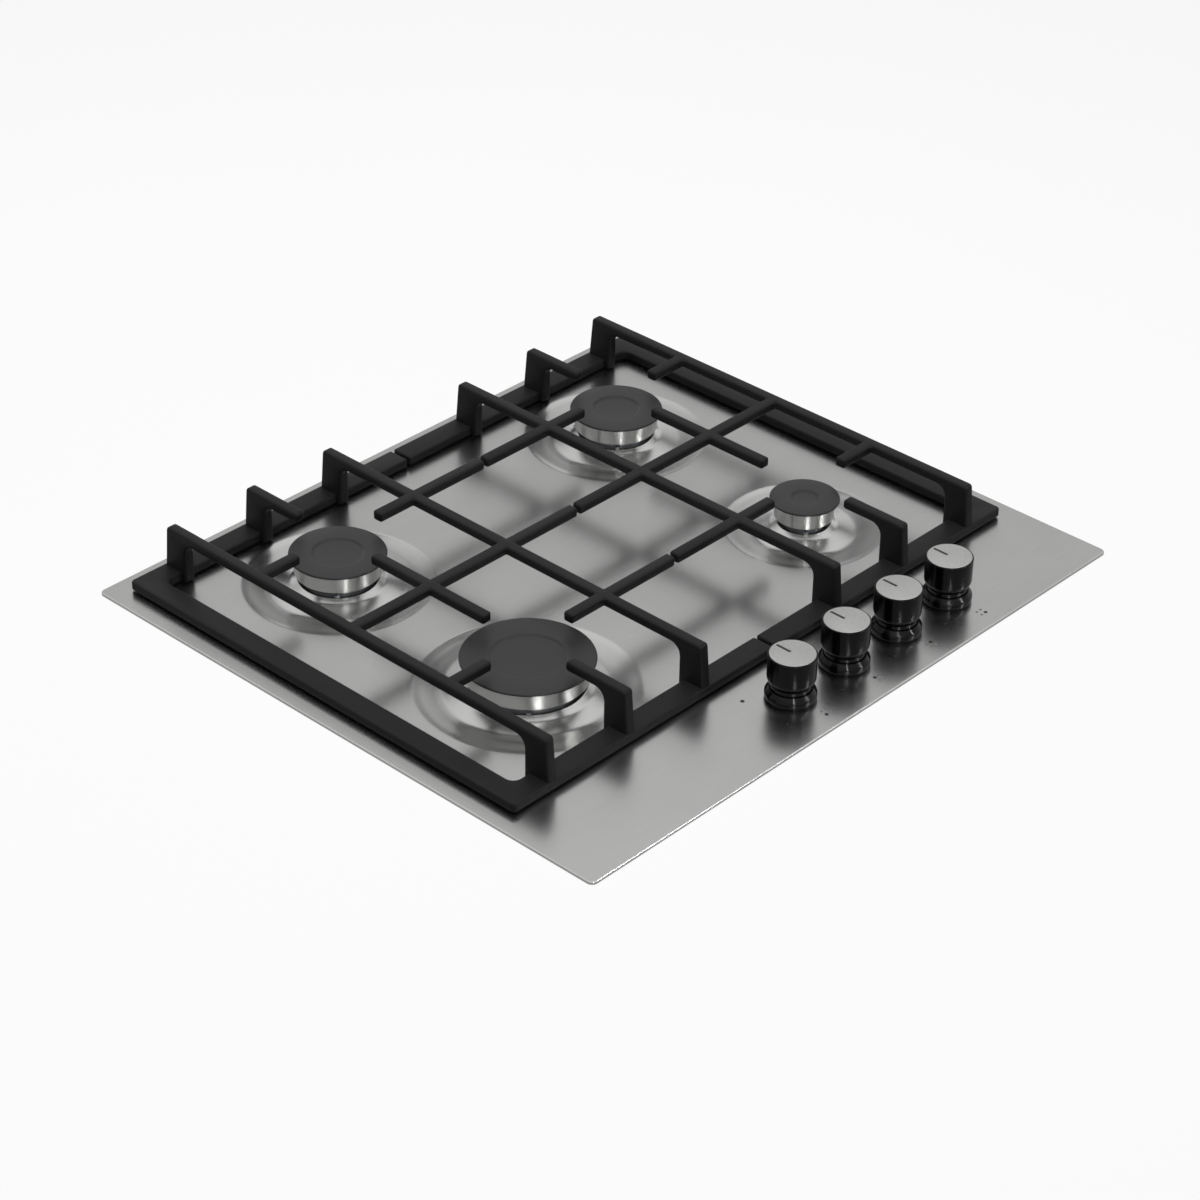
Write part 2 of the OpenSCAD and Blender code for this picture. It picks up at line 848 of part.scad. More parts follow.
module cable_gland() {
    color("#26282a")
    translate([gland_x, casing_d / 2, gland_z]) rotate([-90, 0, 0])
        difference() {
            union() {
                translate([0, 0, -gland_in]) cylinder(h = gland_in + gland_out, r = gland_r);
                cylinder(h = gland_flange_t, r = gland_flange_r);
                translate([0, 0, -casing_t - gland_nut_t])
                    cylinder(h = gland_nut_t, r = gland_nut_r, $fn = 6);
            }
            translate([0, 0, -gland_in - overrun])
                cylinder(h = gland_in + gland_out + 2 * overrun, r = gland_bore_r);
        }
}

module rail_screws() {
    color("silver")
    for (i = ALL, s = sides)
        translate([knob_x[i] + s * rail_screw_x, rail_y - rail_r, rail_z])
            rotate([90, 0, 0]) screw(rail_screw_r, rail_screw_l, rail_screw_head_r, rail_screw_head_h);
}

// One tap body under its knob, with the bore of its plug and its gas ways
module tap_body() {
    difference() {
        union() {
            translate([-tap_w / 2, tap_front, tap_bottom])
                cube([tap_w, tap_back - tap_front, tap_top - tap_bottom]);
            translate([0, 0, tap_top - overrun]) cylinder(h = neck_top - tap_top + overrun, r = neck_r);
        }
        rod([-tap_w, rail_y - knob_row_y, inlet_way_z], [tap_w, rail_y - knob_row_y, inlet_way_z], rail_r + fit_gap);
        translate([0, 0, plug_bottom]) cylinder(h = plug_bore_top - plug_bottom, r = plug_r + fit_gap);
        translate([0, 0, chamber_bottom]) cylinder(h = plug_bottom - chamber_bottom + overrun, r = chamber_r);
        translate([0, 0, plug_bore_top - overrun])
            cylinder(h = pocket_bottom - plug_bore_top + 2 * overrun, r = spindle_r + 2 * fit_gap);
        translate([0, 0, pocket_bottom]) cylinder(h = neck_top - pocket_bottom + overrun, r = pocket_r);
        rod([0, tap_front - overrun, inlet_way_z], [0, 0, inlet_way_z], inlet_way_r);
        rod([outlet_x, 0, outlet_z], [outlet_x, tap_back + overrun, outlet_z], gas_way_r);
        rod([outlet_x, tap_back - tube_seat, outlet_z], [outlet_x, tap_back + overrun, outlet_z], tube_r + fit_gap);
        rod([magnet_x, tap_back - magnet_seat, outlet_z], [magnet_x, tap_back + overrun, outlet_z], magnet_r + fit_gap);
        for (s = sides)
            rod([s * rail_screw_x, tap_front - overrun, inlet_way_z],
                [s * rail_screw_x, rail_y - knob_row_y - rail_r + rail_screw_l + touch_gap, inlet_way_z],
                rail_screw_r + touch_gap);
    }
}

module tap_bodies() {
    color("darkkhaki")
    for (i = ALL) at_knob(i) tap_body();
}

module magnet_units() {
    color("burlywood")
    for (i = ALL)
        at_knob(i) translate([magnet_x, tap_back, outlet_z]) rotate([-90, 0, 0]) {
            translate([0, 0, -magnet_seat + fit_gap]) cylinder(h = magnet_seat, r = magnet_r);
            cylinder(h = magnet_hex_t, r = magnet_hex_r, $fn = 6);
            cylinder(h = magnet_l, r = magnet_end_r);
        }
}

// Routes of the burner tubes: out of a tap, up to their level, across, into a cup
inner_run_x = 55;
run_turn_d = 52;
run_turn_y = burner_front_y - run_turn_d;
cup_turn_x = 40;
cup_turn_y = 24;
tap_out_y = knob_row_y + tap_back;
rise_l = 15;
port_in = port_reach - tube_seat;

function tap_start(i) = [
    [knob_x[i] + outlet_x, tap_out_y - tube_seat + fit_gap, top_z + outlet_z],
    [knob_x[i] + outlet_x, tap_out_y + rise_l, top_z + outlet_z],
    [knob_x[i] + outlet_x, tap_out_y + 2 * rise_l, tube_z]
];
function front_route(i) = concat(tap_start(i), [
    [burner_at[i][0], run_turn_y, tube_z],
    [burner_at[i][0], burner_at[i][1] - port_in - fit_gap, tube_z]
]);
function back_route(i, side) = concat(tap_start(i), [
    [side * inner_run_x, run_turn_y, tube_z],
    [side * inner_run_x, burner_at[i][1] - cup_turn_y, tube_z],
    [side * (burner_x - cup_turn_x), burner_at[i][1], tube_z],
    [burner_at[i][0] - side * (port_in + fit_gap), burner_at[i][1], tube_z]
]);
tube_route = [front_route(FL), back_route(BL, -1), back_route(BR, 1), front_route(FR)];

module gas_tube(i) {
    color("gainsboro") pipe(rounded(tube_route[i], tube_bend), tube_r, tube_wall, tube_sides);
}

module burner_cup(i) {
    color("darkgray")
    at_burner(i)
    difference() {
        union() {
            difference() {
                union() {
                    translate([0, 0, -cup_depth]) cylinder(h = cup_depth + head_bottom, r = cup_r[i]);
                    translate([0, 0, collar_h - plate_t - cup_flange_t])
                        cylinder(h = cup_flange_t, r = head_r[i] - cup_flange_edge);
                    for (turn = [electrode_turn, thermocouple_turn])
                        rotate(turn)
                            translate([cup_r[i] - cup_wall / 2, -lug_w / 2, lug_top - lug_t])
                                cube([head_r[i] + probe_gap + lug_edge - cup_r[i] + cup_wall / 2, lug_w, lug_t]);
                }
                translate([0, 0, cup_floor_t - cup_depth])
                    cylinder(h = cup_depth + head_bottom, r = cup_r[i] - cup_wall);
            }
            translate([0, 0, boss_bottom]) cylinder(h = boss_top - boss_bottom, r = boss_r);
            rotate(port_turn[i]) translate([0, 0, port_z])
                rotate([0, 90, 0]) cylinder(h = port_reach, r = port_r);
        }
        translate([0, 0, boss_top - injector_thread - overrun])
            cylinder(h = injector_thread + 2 * overrun, r = injector_r + touch_gap);
        translate([0, 0, port_z]) cylinder(h = boss_top - port_z, r = gas_way_r);
        rotate(port_turn[i]) translate([0, 0, port_z]) rotate([0, 90, 0]) {
            cylinder(h = port_reach + overrun, r = gas_way_r);
            translate([0, 0, port_in]) cylinder(h = tube_seat + overrun, r = tube_r + fit_gap);
        }
        for (turn = [electrode_turn, thermocouple_turn])
            rotate(turn) translate([head_r[i] + probe_gap, 0, lug_top - lug_t - overrun])
                cylinder(h = lug_t + 2 * overrun, r = ceramic_r + fit_gap);
        at_cup_screws(i)
            translate([0, 0, collar_h - plate_t - cup_flange_t - overrun])
                cylinder(h = cup_flange_t + 2 * overrun, r = cup_screw_r + touch_gap);
    }
}

module injectors() {
    color("gold")
    for (i = ALL)
        at_burner(i) translate([0, 0, boss_top])
            difference() {
                union() {
                    translate([0, 0, -injector_thread]) cylinder(h = injector_thread + overrun, r = injector_r);
                    cylinder(h = injector_hex_h, r = injector_hex_r, $fn = 6);
                    cylinder(h = injector_hex_h + injector_nose_h, r = injector_nose_r);
                }
                translate([0, 0, -injector_thread - overrun])
                    cylinder(h = injector_thread + injector_hex_h + overrun, r = gas_way_r);
                cylinder(h = injector_hex_h + injector_nose_h + overrun, r = injector_jet_r);
            }
}

module cup_screws() {
    color("silver")
    for (i = ALL)
        at_burner(i) at_cup_screws(i)
            translate([0, 0, collar_h])
                screw(cup_screw_r, cup_screw_l, cup_screw_head_r, cup_screw_head_h);
}

// Leads from the electrodes to the module, at their own level over the floor
spark_in_x = module_w / 2 + spark_port_l;
spark_turn_x = 60;
spark_straight = 8;
function spark_route(i) = let(
    side = burner_at[i][0] < 0 ? -1 : 1,
    row = burner_at[i][1] < grate_y ? -1 : 1
) [
    beside(i, electrode_turn, top_z + ceramic_bottom - touch_gap),
    beside(i, electrode_turn, spark_lead_z),
    [side * spark_turn_x, module_y + row * 3 * spark_port_y, spark_lead_z],
    [side * (spark_in_x + spark_straight), module_y + row * spark_port_y, spark_lead_z],
    [side * (spark_in_x + touch_gap), module_y + row * spark_port_y, spark_lead_z]
];

module electrodes() {
    color("white")
    for (i = ALL) {
        translate(beside(i, electrode_turn, top_z + ceramic_bottom))
            cylinder(h = ceramic_top - ceramic_bottom, r = ceramic_r);
        translate(beside(i, electrode_turn, top_z + ceramic_top - overrun))
            cylinder(h = electrode_tip_top - ceramic_top + overrun, r = electrode_tip_r);
        wire(rounded(spark_route(i), lead_bend), spark_lead_r, wire_sides);
    }
}

// Leads from the thermocouples to the taps' magnet units, at their own level
lead_run_share = [-0.58, -0.49, 0.55, 1.1];
lead_run_x = [for (share = lead_run_share) share * burner_x];
lead_bend_d = [3, 23, 23, -57];
lead_bend_y = [for (d = lead_bend_d) burner_front_y + d];
lead_turn_d = 20;
lead_side_d = 24;
lead_out_y = tap_out_y + magnet_l;
function lead_route(i) = concat(
    [
        beside(i, thermocouple_turn, top_z + ceramic_bottom - touch_gap),
        beside(i, thermocouple_turn, lead_z)
    ],
    i == FL || i == BL ? [beside(i, thermocouple_turn, lead_z) + [lead_side_d, 0, 0]] : [],
    i == BL || i == BR ? [[lead_run_x[i], burner_back_y - lead_turn_d, lead_z]] : [],
    [
        [lead_run_x[i], lead_bend_y[i], lead_z],
        [knob_x[i] + magnet_x, lead_out_y + 3 * rise_l, lead_z],
        [knob_x[i] + magnet_x, lead_out_y + rise_l, top_z + outlet_z],
        [knob_x[i] + magnet_x, lead_out_y + touch_gap, top_z + outlet_z]
    ]
);

module thermocouples() {
    color("peru")
    for (i = ALL) {
        translate(beside(i, thermocouple_turn, top_z + ceramic_bottom))
            cylinder(h = sheath_top - ceramic_bottom, r = sheath_r);
        translate(beside(i, thermocouple_turn, top_z + sheath_top - overrun))
            cylinder(h = hot_tip_top - sheath_top + overrun, r = hot_tip_r);
        wire(rounded(lead_route(i), lead_bend), lead_r, wire_sides);
    }
}

module knob_bezels() {
    color("#101012")
    for (i = ALL)
        at_knob(i)
            rotate_extrude()
                difference() {
                    union() {
                        square([bezel_r, bezel_h - bezel_shoulder]);
                        translate([0, bezel_h - bezel_shoulder - overrun])
                            square([bezel_r - bezel_shoulder, bezel_shoulder + overrun]);
                        translate([bezel_r - bezel_shoulder, bezel_h - bezel_shoulder]) circle(bezel_shoulder);
                        translate([0, -bezel_neck_l]) square([bezel_neck_r, bezel_neck_l + overrun]);
                    }
                    translate([0, bezel_floor_t]) square([bezel_bore_r, bezel_h]);
                    translate([0, -bezel_h]) square([spindle_r + loose_gap, 2 * bezel_h]);
                    translate([-bezel_r, -bezel_h]) square([bezel_r, 3 * bezel_h]);
                }
}

module tap_plug(i) {
    color("peru")
    at_knob(i)
    difference() {
        translate([0, 0, plug_bottom + touch_gap])
            cylinder(h = plug_top - plug_bottom - touch_gap, r = plug_r);
        translate([-(tongue_w + loose_gap) / 2, -tongue_t / 2 - fit_gap, plug_slot_bottom])
            cube([tongue_w + loose_gap, tongue_t + 2 * fit_gap, plug_top - plug_slot_bottom + overrun]);
        translate([0, 0, plug_bottom - overrun])
            cylinder(h = inlet_way_z - plug_bottom + overrun, r = gas_way_r);
        rotate(-90 - full_flame_turn) translate([0, 0, inlet_way_z])
            rotate([0, 90, 0]) cylinder(h = plug_r + overrun, r = gas_way_r);
    }
}

module spindle(i) {
    color("darkgray")
    at_knob(i) {
        difference() {
            translate([0, 0, spindle_round_bottom])
                cylinder(h = spindle_top - spindle_round_bottom, r = spindle_r);
            translate([-spindle_r, spindle_flat, flat_bottom])
                cube([2 * spindle_r, spindle_r, spindle_top]);
        }
        translate([0, 0, collar_z]) cylinder(h = collar_t, r = collar_r);
        translate([-tongue_w / 2, -tongue_t / 2, tongue_bottom])
            cube([tongue_w, tongue_t, spindle_round_bottom - tongue_bottom + overrun]);
    }
}

// A coil spring round the spindle, which winds up from the pocket's floor
module knob_spring(i) {
    steps = spring_turns * spring_steps;
    low = pocket_bottom + spring_wire_r + fit_gap;
    rise = collar_z - pocket_bottom - 2 * (spring_wire_r + fit_gap);
    coil = [
        for (k = [0 : steps])
            let(turn = 360 * spring_turns * k / steps)
            [spring_mean_r * cos(turn), spring_mean_r * sin(turn), low + rise * k / steps]
    ];
    color("silver")
    at_knob(i) wire(coil, spring_wire_r, spring_sides);
}

// Section of a knob's outer skin: the grip, the flare under it and the stem
module knob_section() {
    flare_h = knob_flare_end - knob_flare_start;
    flare_w = knob_r - knob_stem_r;
    rim_top = knob_top - disc_proud;
    difference() {
        union() {
            translate([0, knob_stem_bottom]) square([knob_stem_r, rim_top - knob_stem_bottom]);
            translate([0, knob_flare_end]) square([knob_r, rim_top - knob_flare_end]);
            polygon([
                [0, knob_flare_start], [knob_stem_r, knob_flare_start],
                [knob_stem_r + flare_w / 3, knob_flare_start + flare_h / 4],
                [knob_r - flare_w / 6, knob_flare_end - flare_h / 4],
                [knob_r, knob_flare_end], [0, knob_flare_end]
            ]);
        }
        translate([0, knob_stem_bottom - overrun])
            square([knob_stem_r - knob_skin, knob_top - knob_crown - knob_stem_bottom + overrun]);
        translate([0, knob_top - disc_t]) square([disc_r + fit_gap, disc_t + overrun]);
    }
}

module knob(i) {
    crown_z = knob_top - knob_crown;
    color("#0c0c0e")
    at_knob(i)
    difference() {
        union() {
            rotate_extrude() knob_section();
            translate([0, 0, knob_boss_bottom])
                cylinder(h = crown_z - knob_boss_bottom + overrun, r = knob_boss_r);
        }
        difference() {
            translate([0, 0, knob_boss_bottom - overrun])
                cylinder(h = spindle_top - knob_boss_bottom + overrun + fit_gap, r = spindle_r + fit_gap);
            translate([-spindle_r - overrun, spindle_flat + fit_gap, flat_bottom + fit_gap])
                cube([2 * (spindle_r + overrun), spindle_r, spindle_top]);
        }
    }
}

module knob_disc(i) {
    color("lightgray")
    at_knob(i)
        translate([0, 0, knob_top - disc_t]) cylinder(h = disc_t, r = disc_r);
}

module burner_head(i) {
    slots = floor(2 * PI * head_r[i] / flame_pitch);
    chamber = head_r[i] - head_wall;
    skirt = cup_r[i] - cup_wall - loose_gap;
    color("lightsteelblue")
    at_burner(i)
    difference() {
        union() {
            difference() {
                translate([0, 0, head_bottom]) cylinder(h = head_top - head_bottom, r = head_r[i]);
                translate([0, 0, head_bottom + head_base_t]) cylinder(h = head_top, r = chamber);
            }
            difference() {
                translate([0, 0, head_bottom - skirt_h]) cylinder(h = skirt_h + overrun, r = skirt);
                translate([0, 0, head_bottom - skirt_h - overrun])
                    cylinder(h = skirt_h + overrun, r = skirt - skirt_wall);
            }
            translate([0, 0, venturi_bottom])
                cylinder(h = head_bottom + head_base_t - venturi_bottom, r = venturi_r);
        }
        translate([0, 0, venturi_bottom - overrun])
            cylinder(h = head_top - venturi_bottom, r = venturi_bore_r);
        for (k = [0 : slots - 1])
            rotate(k * 360 / slots)
                translate([chamber - overrun, -flame_slot_w / 2, head_top - flame_slot_h])
                    cube([head_wall + 2 * overrun, flame_slot_w, flame_slot_h + overrun]);
    }
}

module burner_cap(i) {
    lug_r = head_r[i] - head_wall - loose_gap;
    middle_r = cap_r[i] * cap_middle_share[i];
    color("#2c2c2e")
    at_burner(i)
        rotate_extrude()
            difference() {
                union() {
                    translate([0, head_top]) square([cap_r[i], cap_t - cap_edge_r]);
                    translate([0, head_top]) square([cap_r[i] - cap_edge_r, cap_t]);
                    translate([cap_r[i] - cap_edge_r, head_top + cap_t - cap_edge_r]) circle(cap_edge_r);
                    translate([lug_r - cap_lug_wall, head_top - cap_lug_h])
                        square([cap_lug_wall, cap_lug_h + cap_t / 2]);
                }
                translate([0, head_top + cap_t - cap_middle_depth])
                    square([middle_r, cap_middle_depth + overrun]);
            }
}

// Section of a bar with its top at height zero
module bar_section() {
    polygon([
        [-bar_w / 2, -bar_h], [bar_w / 2, -bar_h],
        [bar_w / 2, -bar_edge], [bar_w / 2 - bar_edge, 0],
        [bar_edge - bar_w / 2, 0], [-bar_w / 2, -bar_edge]
    ]);
}

// Bars of a grate: one along Y at x, and one along X at y
module bar_along_y(x, y0, y1) {
    translate([x, y1, grate_h]) rotate([90, 0, 0]) linear_extrude(y1 - y0) bar_section();
}

module bar_along_x(y, x0, x1) {
    translate([x0, y, grate_h]) rotate([90, 0, 90]) linear_extrude(x1 - x0) bar_section();
}

// Side view of the front upright: its outer face leans in and a fillet joins the bar
module upright_section() {
    polygon([
        [0, base_gap], [upright_lean, grate_h - upright_edge],
        [upright_lean + upright_edge, grate_h - bar_edge / 4], [upright_d, grate_h - bar_edge / 4],
        [upright_d, base_gap]
    ]);
    translate([upright_d, grate_h - bar_h - upright_fillet])
        difference() {
            translate([-overrun, 0]) square([upright_fillet + overrun, upright_fillet + overrun]);
            translate([upright_fillet, 0]) circle(upright_fillet);
        }
}

module front_upright(x) {
    translate([x - bar_w / 2, grate_front + upright_inset, 0])
        rotate([90, 0, 90]) linear_extrude(bar_w) upright_section();
}

module back_upright(x) {
    translate([0, 2 * grate_y, 0]) mirror([0, 1, 0]) front_upright(x);
}

// The places of the four rubber feet of the right grate
module at_feet() {
    side_x = (grate_w - base_side_w) / 2;
    for (y = [grate_front + foot_in, grate_back - foot_in])
        translate([side_x, y, 0]) children();
    for (y = [grate_front + base_end_w / 2, grate_back - base_end_w / 2])
        translate([grate_split / 2 + foot_in / 2, y, 0]) children();
}

// The right grate: base frame, uprights, bars and fingers
module grate() {
    split = grate_split / 2;
    bar_front = grate_front + upright_inset + upright_lean + upright_edge;
    bar_back = 2 * grate_y - bar_front;
    translate([0, 0, top_z])
    difference() {
        union() {
            translate([0, 0, base_gap]) linear_extrude(base_t)
                difference() {
                    half_round_rect(split, grate_w / 2, grate_front, grate_back, base_corner_r);
                    half_round_rect(split - overrun, grate_w / 2 - base_side_w,
                        grate_front + base_end_w, grate_back - base_end_w, base_inner_r);
                }
            for (x = [inner_bar_x, burner_x, outer_bar_x]) {
                front_upright(x);
                back_upright(x);
            }
            for (x = [inner_bar_x, outer_bar_x])
                bar_along_y(x, bar_front, bar_back);
            bar_along_y(burner_x, bar_front, burner_front_y - finger_gap);
            bar_along_y(burner_x, burner_front_y + finger_gap, burner_back_y - finger_gap);
            bar_along_y(burner_x, burner_back_y + finger_gap, bar_back);
            bar_along_x(grate_y, split, outer_bar_x);
            for (y = [burner_front_y, burner_back_y]) {
                bar_along_x(y, split, burner_x - finger_gap);
                bar_along_x(y, burner_x + finger_gap, outer_bar_x);
            }
        }
        at_feet() cylinder(h = base_gap + foot_stem_h + touch_gap, r = foot_stem_r + touch_gap);
    }
}

module grate_feet() {
    translate([0, 0, top_z]) at_feet() {
        cylinder(h = base_gap, r = foot_r);
        cylinder(h = base_gap + foot_stem_h, r = foot_stem_r);
    }
}

module grate_right() {
    color("#1c1c1e") grate();
}

module grate_left() {
    color("#1c1c1e") mirror([1, 0, 0]) grate();
}

module grate_feet_right() {
    color("#3a3a3a") grate_feet();
}

module grate_feet_left() {
    color("#3a3a3a") mirror([1, 0, 0]) grate_feet();
}

top_plate();
bottom_tray();
worktop_seal();
fixing_brackets();
bracket_screws();
tray_screws();
gas_rail();
gas_inlet_fitting();
ignition_module();
module_screws();
ignition_switches();
cable_gland();
rail_screws();
tap_bodies();
magnet_units();
gas_tube(FL);  // gas_tube_fl
gas_tube(BL);  // gas_tube_bl
gas_tube(BR);  // gas_tube_br
gas_tube(FR);  // gas_tube_fr
burner_cup(FL);  // burner_cup_fl
burner_cup(BL);  // burner_cup_bl
burner_cup(BR);  // burner_cup_br
burner_cup(FR);  // burner_cup_fr
injectors();
cup_screws();
electrodes();
thermocouples();
knob_bezels();
tap_plug(FL);  // tap_plug_fl
tap_plug(BL);  // tap_plug_bl
tap_plug(BR);  // tap_plug_br
tap_plug(FR);  // tap_plug_fr
spindle(FL);  // spindle_fl
spindle(BL);  // spindle_bl
spindle(BR);  // spindle_br
spindle(FR);  // spindle_fr
knob_spring(FL);  // knob_spring_fl
knob_spring(BL);  // knob_spring_bl
knob_spring(BR);  // knob_spring_br
knob_spring(FR);  // knob_spring_fr
knob(FL);  // knob_fl
knob(BL);  // knob_bl
knob(BR);  // knob_br
knob(FR);  // knob_fr
knob_disc(FL);  // knob_disc_fl
knob_disc(BL);  // knob_disc_bl
knob_disc(BR);  // knob_disc_br
knob_disc(FR);  // knob_disc_fr
burner_head(FL);  // burner_head_fl
burner_head(BL);  // burner_head_bl
burner_head(BR);  // burner_head_br
burner_head(FR);  // burner_head_fr
burner_cap(FL);  // burner_cap_fl
burner_cap(BL);  // burner_cap_bl
burner_cap(BR);  // burner_cap_br
burner_cap(FR);  // burner_cap_fr
grate_left();
grate_right();
grate_feet_left();
grate_feet_right();
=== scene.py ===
"""Built-in gas cooktop with four burners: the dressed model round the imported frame.

All places are in the frame's own metres, with +Z up and the front at -Y. Sizes in the
outlines below are millimetres, counted from the plate's top face.
"""

import math

import bpy
from mathutils import Matrix, Vector


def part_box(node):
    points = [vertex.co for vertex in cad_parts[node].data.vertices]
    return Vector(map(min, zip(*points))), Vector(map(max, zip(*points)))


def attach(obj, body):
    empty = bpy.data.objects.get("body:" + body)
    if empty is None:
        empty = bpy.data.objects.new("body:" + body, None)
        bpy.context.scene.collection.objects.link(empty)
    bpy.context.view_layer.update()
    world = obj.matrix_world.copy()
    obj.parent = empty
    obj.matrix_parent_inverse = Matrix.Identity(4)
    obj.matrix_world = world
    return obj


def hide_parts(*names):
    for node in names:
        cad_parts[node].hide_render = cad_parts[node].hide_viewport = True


bl_info = {
    "name": "Gas Cooktop",
    "version": (1, 0, 0),
    "blender": (4, 5, 0),
    "location": "View3D > Sidebar > Cooktop",
    "description": "Models and finishes a built-in gas cooktop round its packed frame",
    "category": "Object",
}

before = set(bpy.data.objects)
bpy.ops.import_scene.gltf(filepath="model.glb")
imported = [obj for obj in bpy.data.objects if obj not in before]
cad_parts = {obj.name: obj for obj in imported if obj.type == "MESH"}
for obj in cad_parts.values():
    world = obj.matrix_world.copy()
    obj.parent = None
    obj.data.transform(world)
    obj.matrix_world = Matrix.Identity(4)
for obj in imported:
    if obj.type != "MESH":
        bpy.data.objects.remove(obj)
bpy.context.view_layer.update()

MM = 0.001

# The burners and their knobs, from the left: front left, back left, back right, front right
BURNERS = ("fl", "bl", "br", "fr")
CAP_R = {"fl": 50, "bl": 37.5, "br": 37.5, "fr": 27.5}
DISH_R = {"fl": 79, "bl": 69, "br": 69, "fr": 58}
CAP_MIDDLE = {"fl": 0.58, "bl": 0.54, "br": 0.52, "fr": 0.4}
# The ring under a cap stands this far inside the cap's edge, and its top is this high
RING_INSET = 4
RING_TOP = 24.5
SIDES = (-1, 1)

TURNED_STEPS = 96

# A grain that runs no longer one way than another
EVEN = (1, 1, 1)
# A quarter turn, which draws the gleams of a turned piece out upright
UPRIGHT_GLEAM = 0.25


# ---- Sizes and colours that a user may change ----


def linear(hex_colour):
    """An sRGB hex colour as the linear RGBA that Blender's sockets take."""
    channels = [int(hex_colour[k:k + 2], 16) / 255 for k in (1, 3, 5)]
    return tuple(c / 12.92 if c <= 0.04045 else ((c + 0.055) / 1.055) ** 2.4 for c in channels) + (1,)


def length(name, description, millimetres):
    """A size that a user may change, given in millimetres."""
    return bpy.props.FloatProperty(
        name=name, description=description, default=millimetres * MM, unit="LENGTH", precision=4
    )


def colour(name, description, hex_colour):
    """A colour that a user may change, given as sRGB hex."""
    return bpy.props.FloatVectorProperty(
        name=name, description=description, default=linear(hex_colour), size=4,
        subtype="COLOR", min=0, max=1,
    )


class CooktopSizes(bpy.types.PropertyGroup):
    plate_top: length("Plate top", "Height of the plate's top face over the casing's underside", 50)
    plate_width: length("Plate width", "Width of the steel plate", 580)
    plate_depth: length("Plate depth", "Depth of the steel plate, front to back", 510)
    plate_corner: length("Plate corner", "Radius of the plate's corners", 5)
    rim_height: length("Rim height", "Drop of the folded rim", 2.2)
    sheet: length("Sheet", "Thickness of the plate's steel", 1)
    burner_x: length("Burner x", "Distance of the burners from the centre line", 154)
    burner_front: length("Front burners", "Place of the front burners along Y", -63)
    burner_back: length("Back burners", "Place of the back burners along Y", 137)
    bar_width: length("Bar width", "Width of a grate bar", 9)
    bar_height: length("Bar height", "Height of a grate bar", 8)
    bar_edge: length("Bar edge", "Rounding of the cast edges of a grate", 1.9)
    grate_top: length("Grate top", "Height of the grates over the plate", 43)
    knob_radius: length("Knob radius", "Radius of a knob's grip", 18.1)
    knob_top: length("Knob top", "Height of a knob over the plate", 38)
    knob_row: length("Knob row", "Place of the row of knobs along Y", -208)


class CooktopColours(bpy.types.PropertyGroup):
    steel: colour("Steel", "Brushed stainless steel of the plate", "#C2C2C1")
    iron: colour("Iron", "Matt enamel on the cast grates", "#222223")
    enamel: colour("Cap enamel", "Matt black enamel of the burner caps", "#2C2C2D")
    alloy: colour("Alloy", "Bright machined alloy of the burner rings", "#BEBEBC")
    knob_black: colour("Knob black", "Glossy black lacquer of the knobs", "#050506")
    knob_disc: colour("Knob disc", "Spun aluminium on top of the knobs", "#B6B6B4")
    ink: colour("Ink", "Printed marks beside the knobs", "#161616")


def sizes():
    return bpy.context.scene.cooktop_sizes


def colours():
    return bpy.context.scene.cooktop_colours


def burner_place(burner):
    """Where a burner's axis stands, as X and Y in metres."""
    s = sizes()
    x = s.burner_x if burner[1] == "r" else -s.burner_x
    return x, s.burner_front if burner[0] == "f" else s.burner_back


def knob_place(burner):
    """Where a knob's axis stands, as X and Y in metres."""
    low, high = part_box("knob_disc_" + burner)
    return (low.x + high.x) / 2, sizes().knob_row


# ---- Materials ----


def add_node(tree, kind, settings=None, inputs=None):
    """Adds a node, sets its own settings, and fills or links its inputs."""
    node = tree.nodes.new(kind)
    for key, value in (settings or {}).items():
        setattr(node, key, value)
    for key, value in (inputs or {}).items():
        if isinstance(value, bpy.types.NodeSocket):
            tree.links.new(value, node.inputs[key])
        else:
            node.inputs[key].default_value = value
    return node


def material(name, shader_inputs):
    """A new material with its Principled shader's own sockets set."""
    made = bpy.data.materials.new(name)
    made.use_nodes = True
    shader = made.node_tree.nodes["Principled BSDF"]
    for key, value in shader_inputs.items():
        shader.inputs[key].default_value = value
    return made, made.node_tree, shader


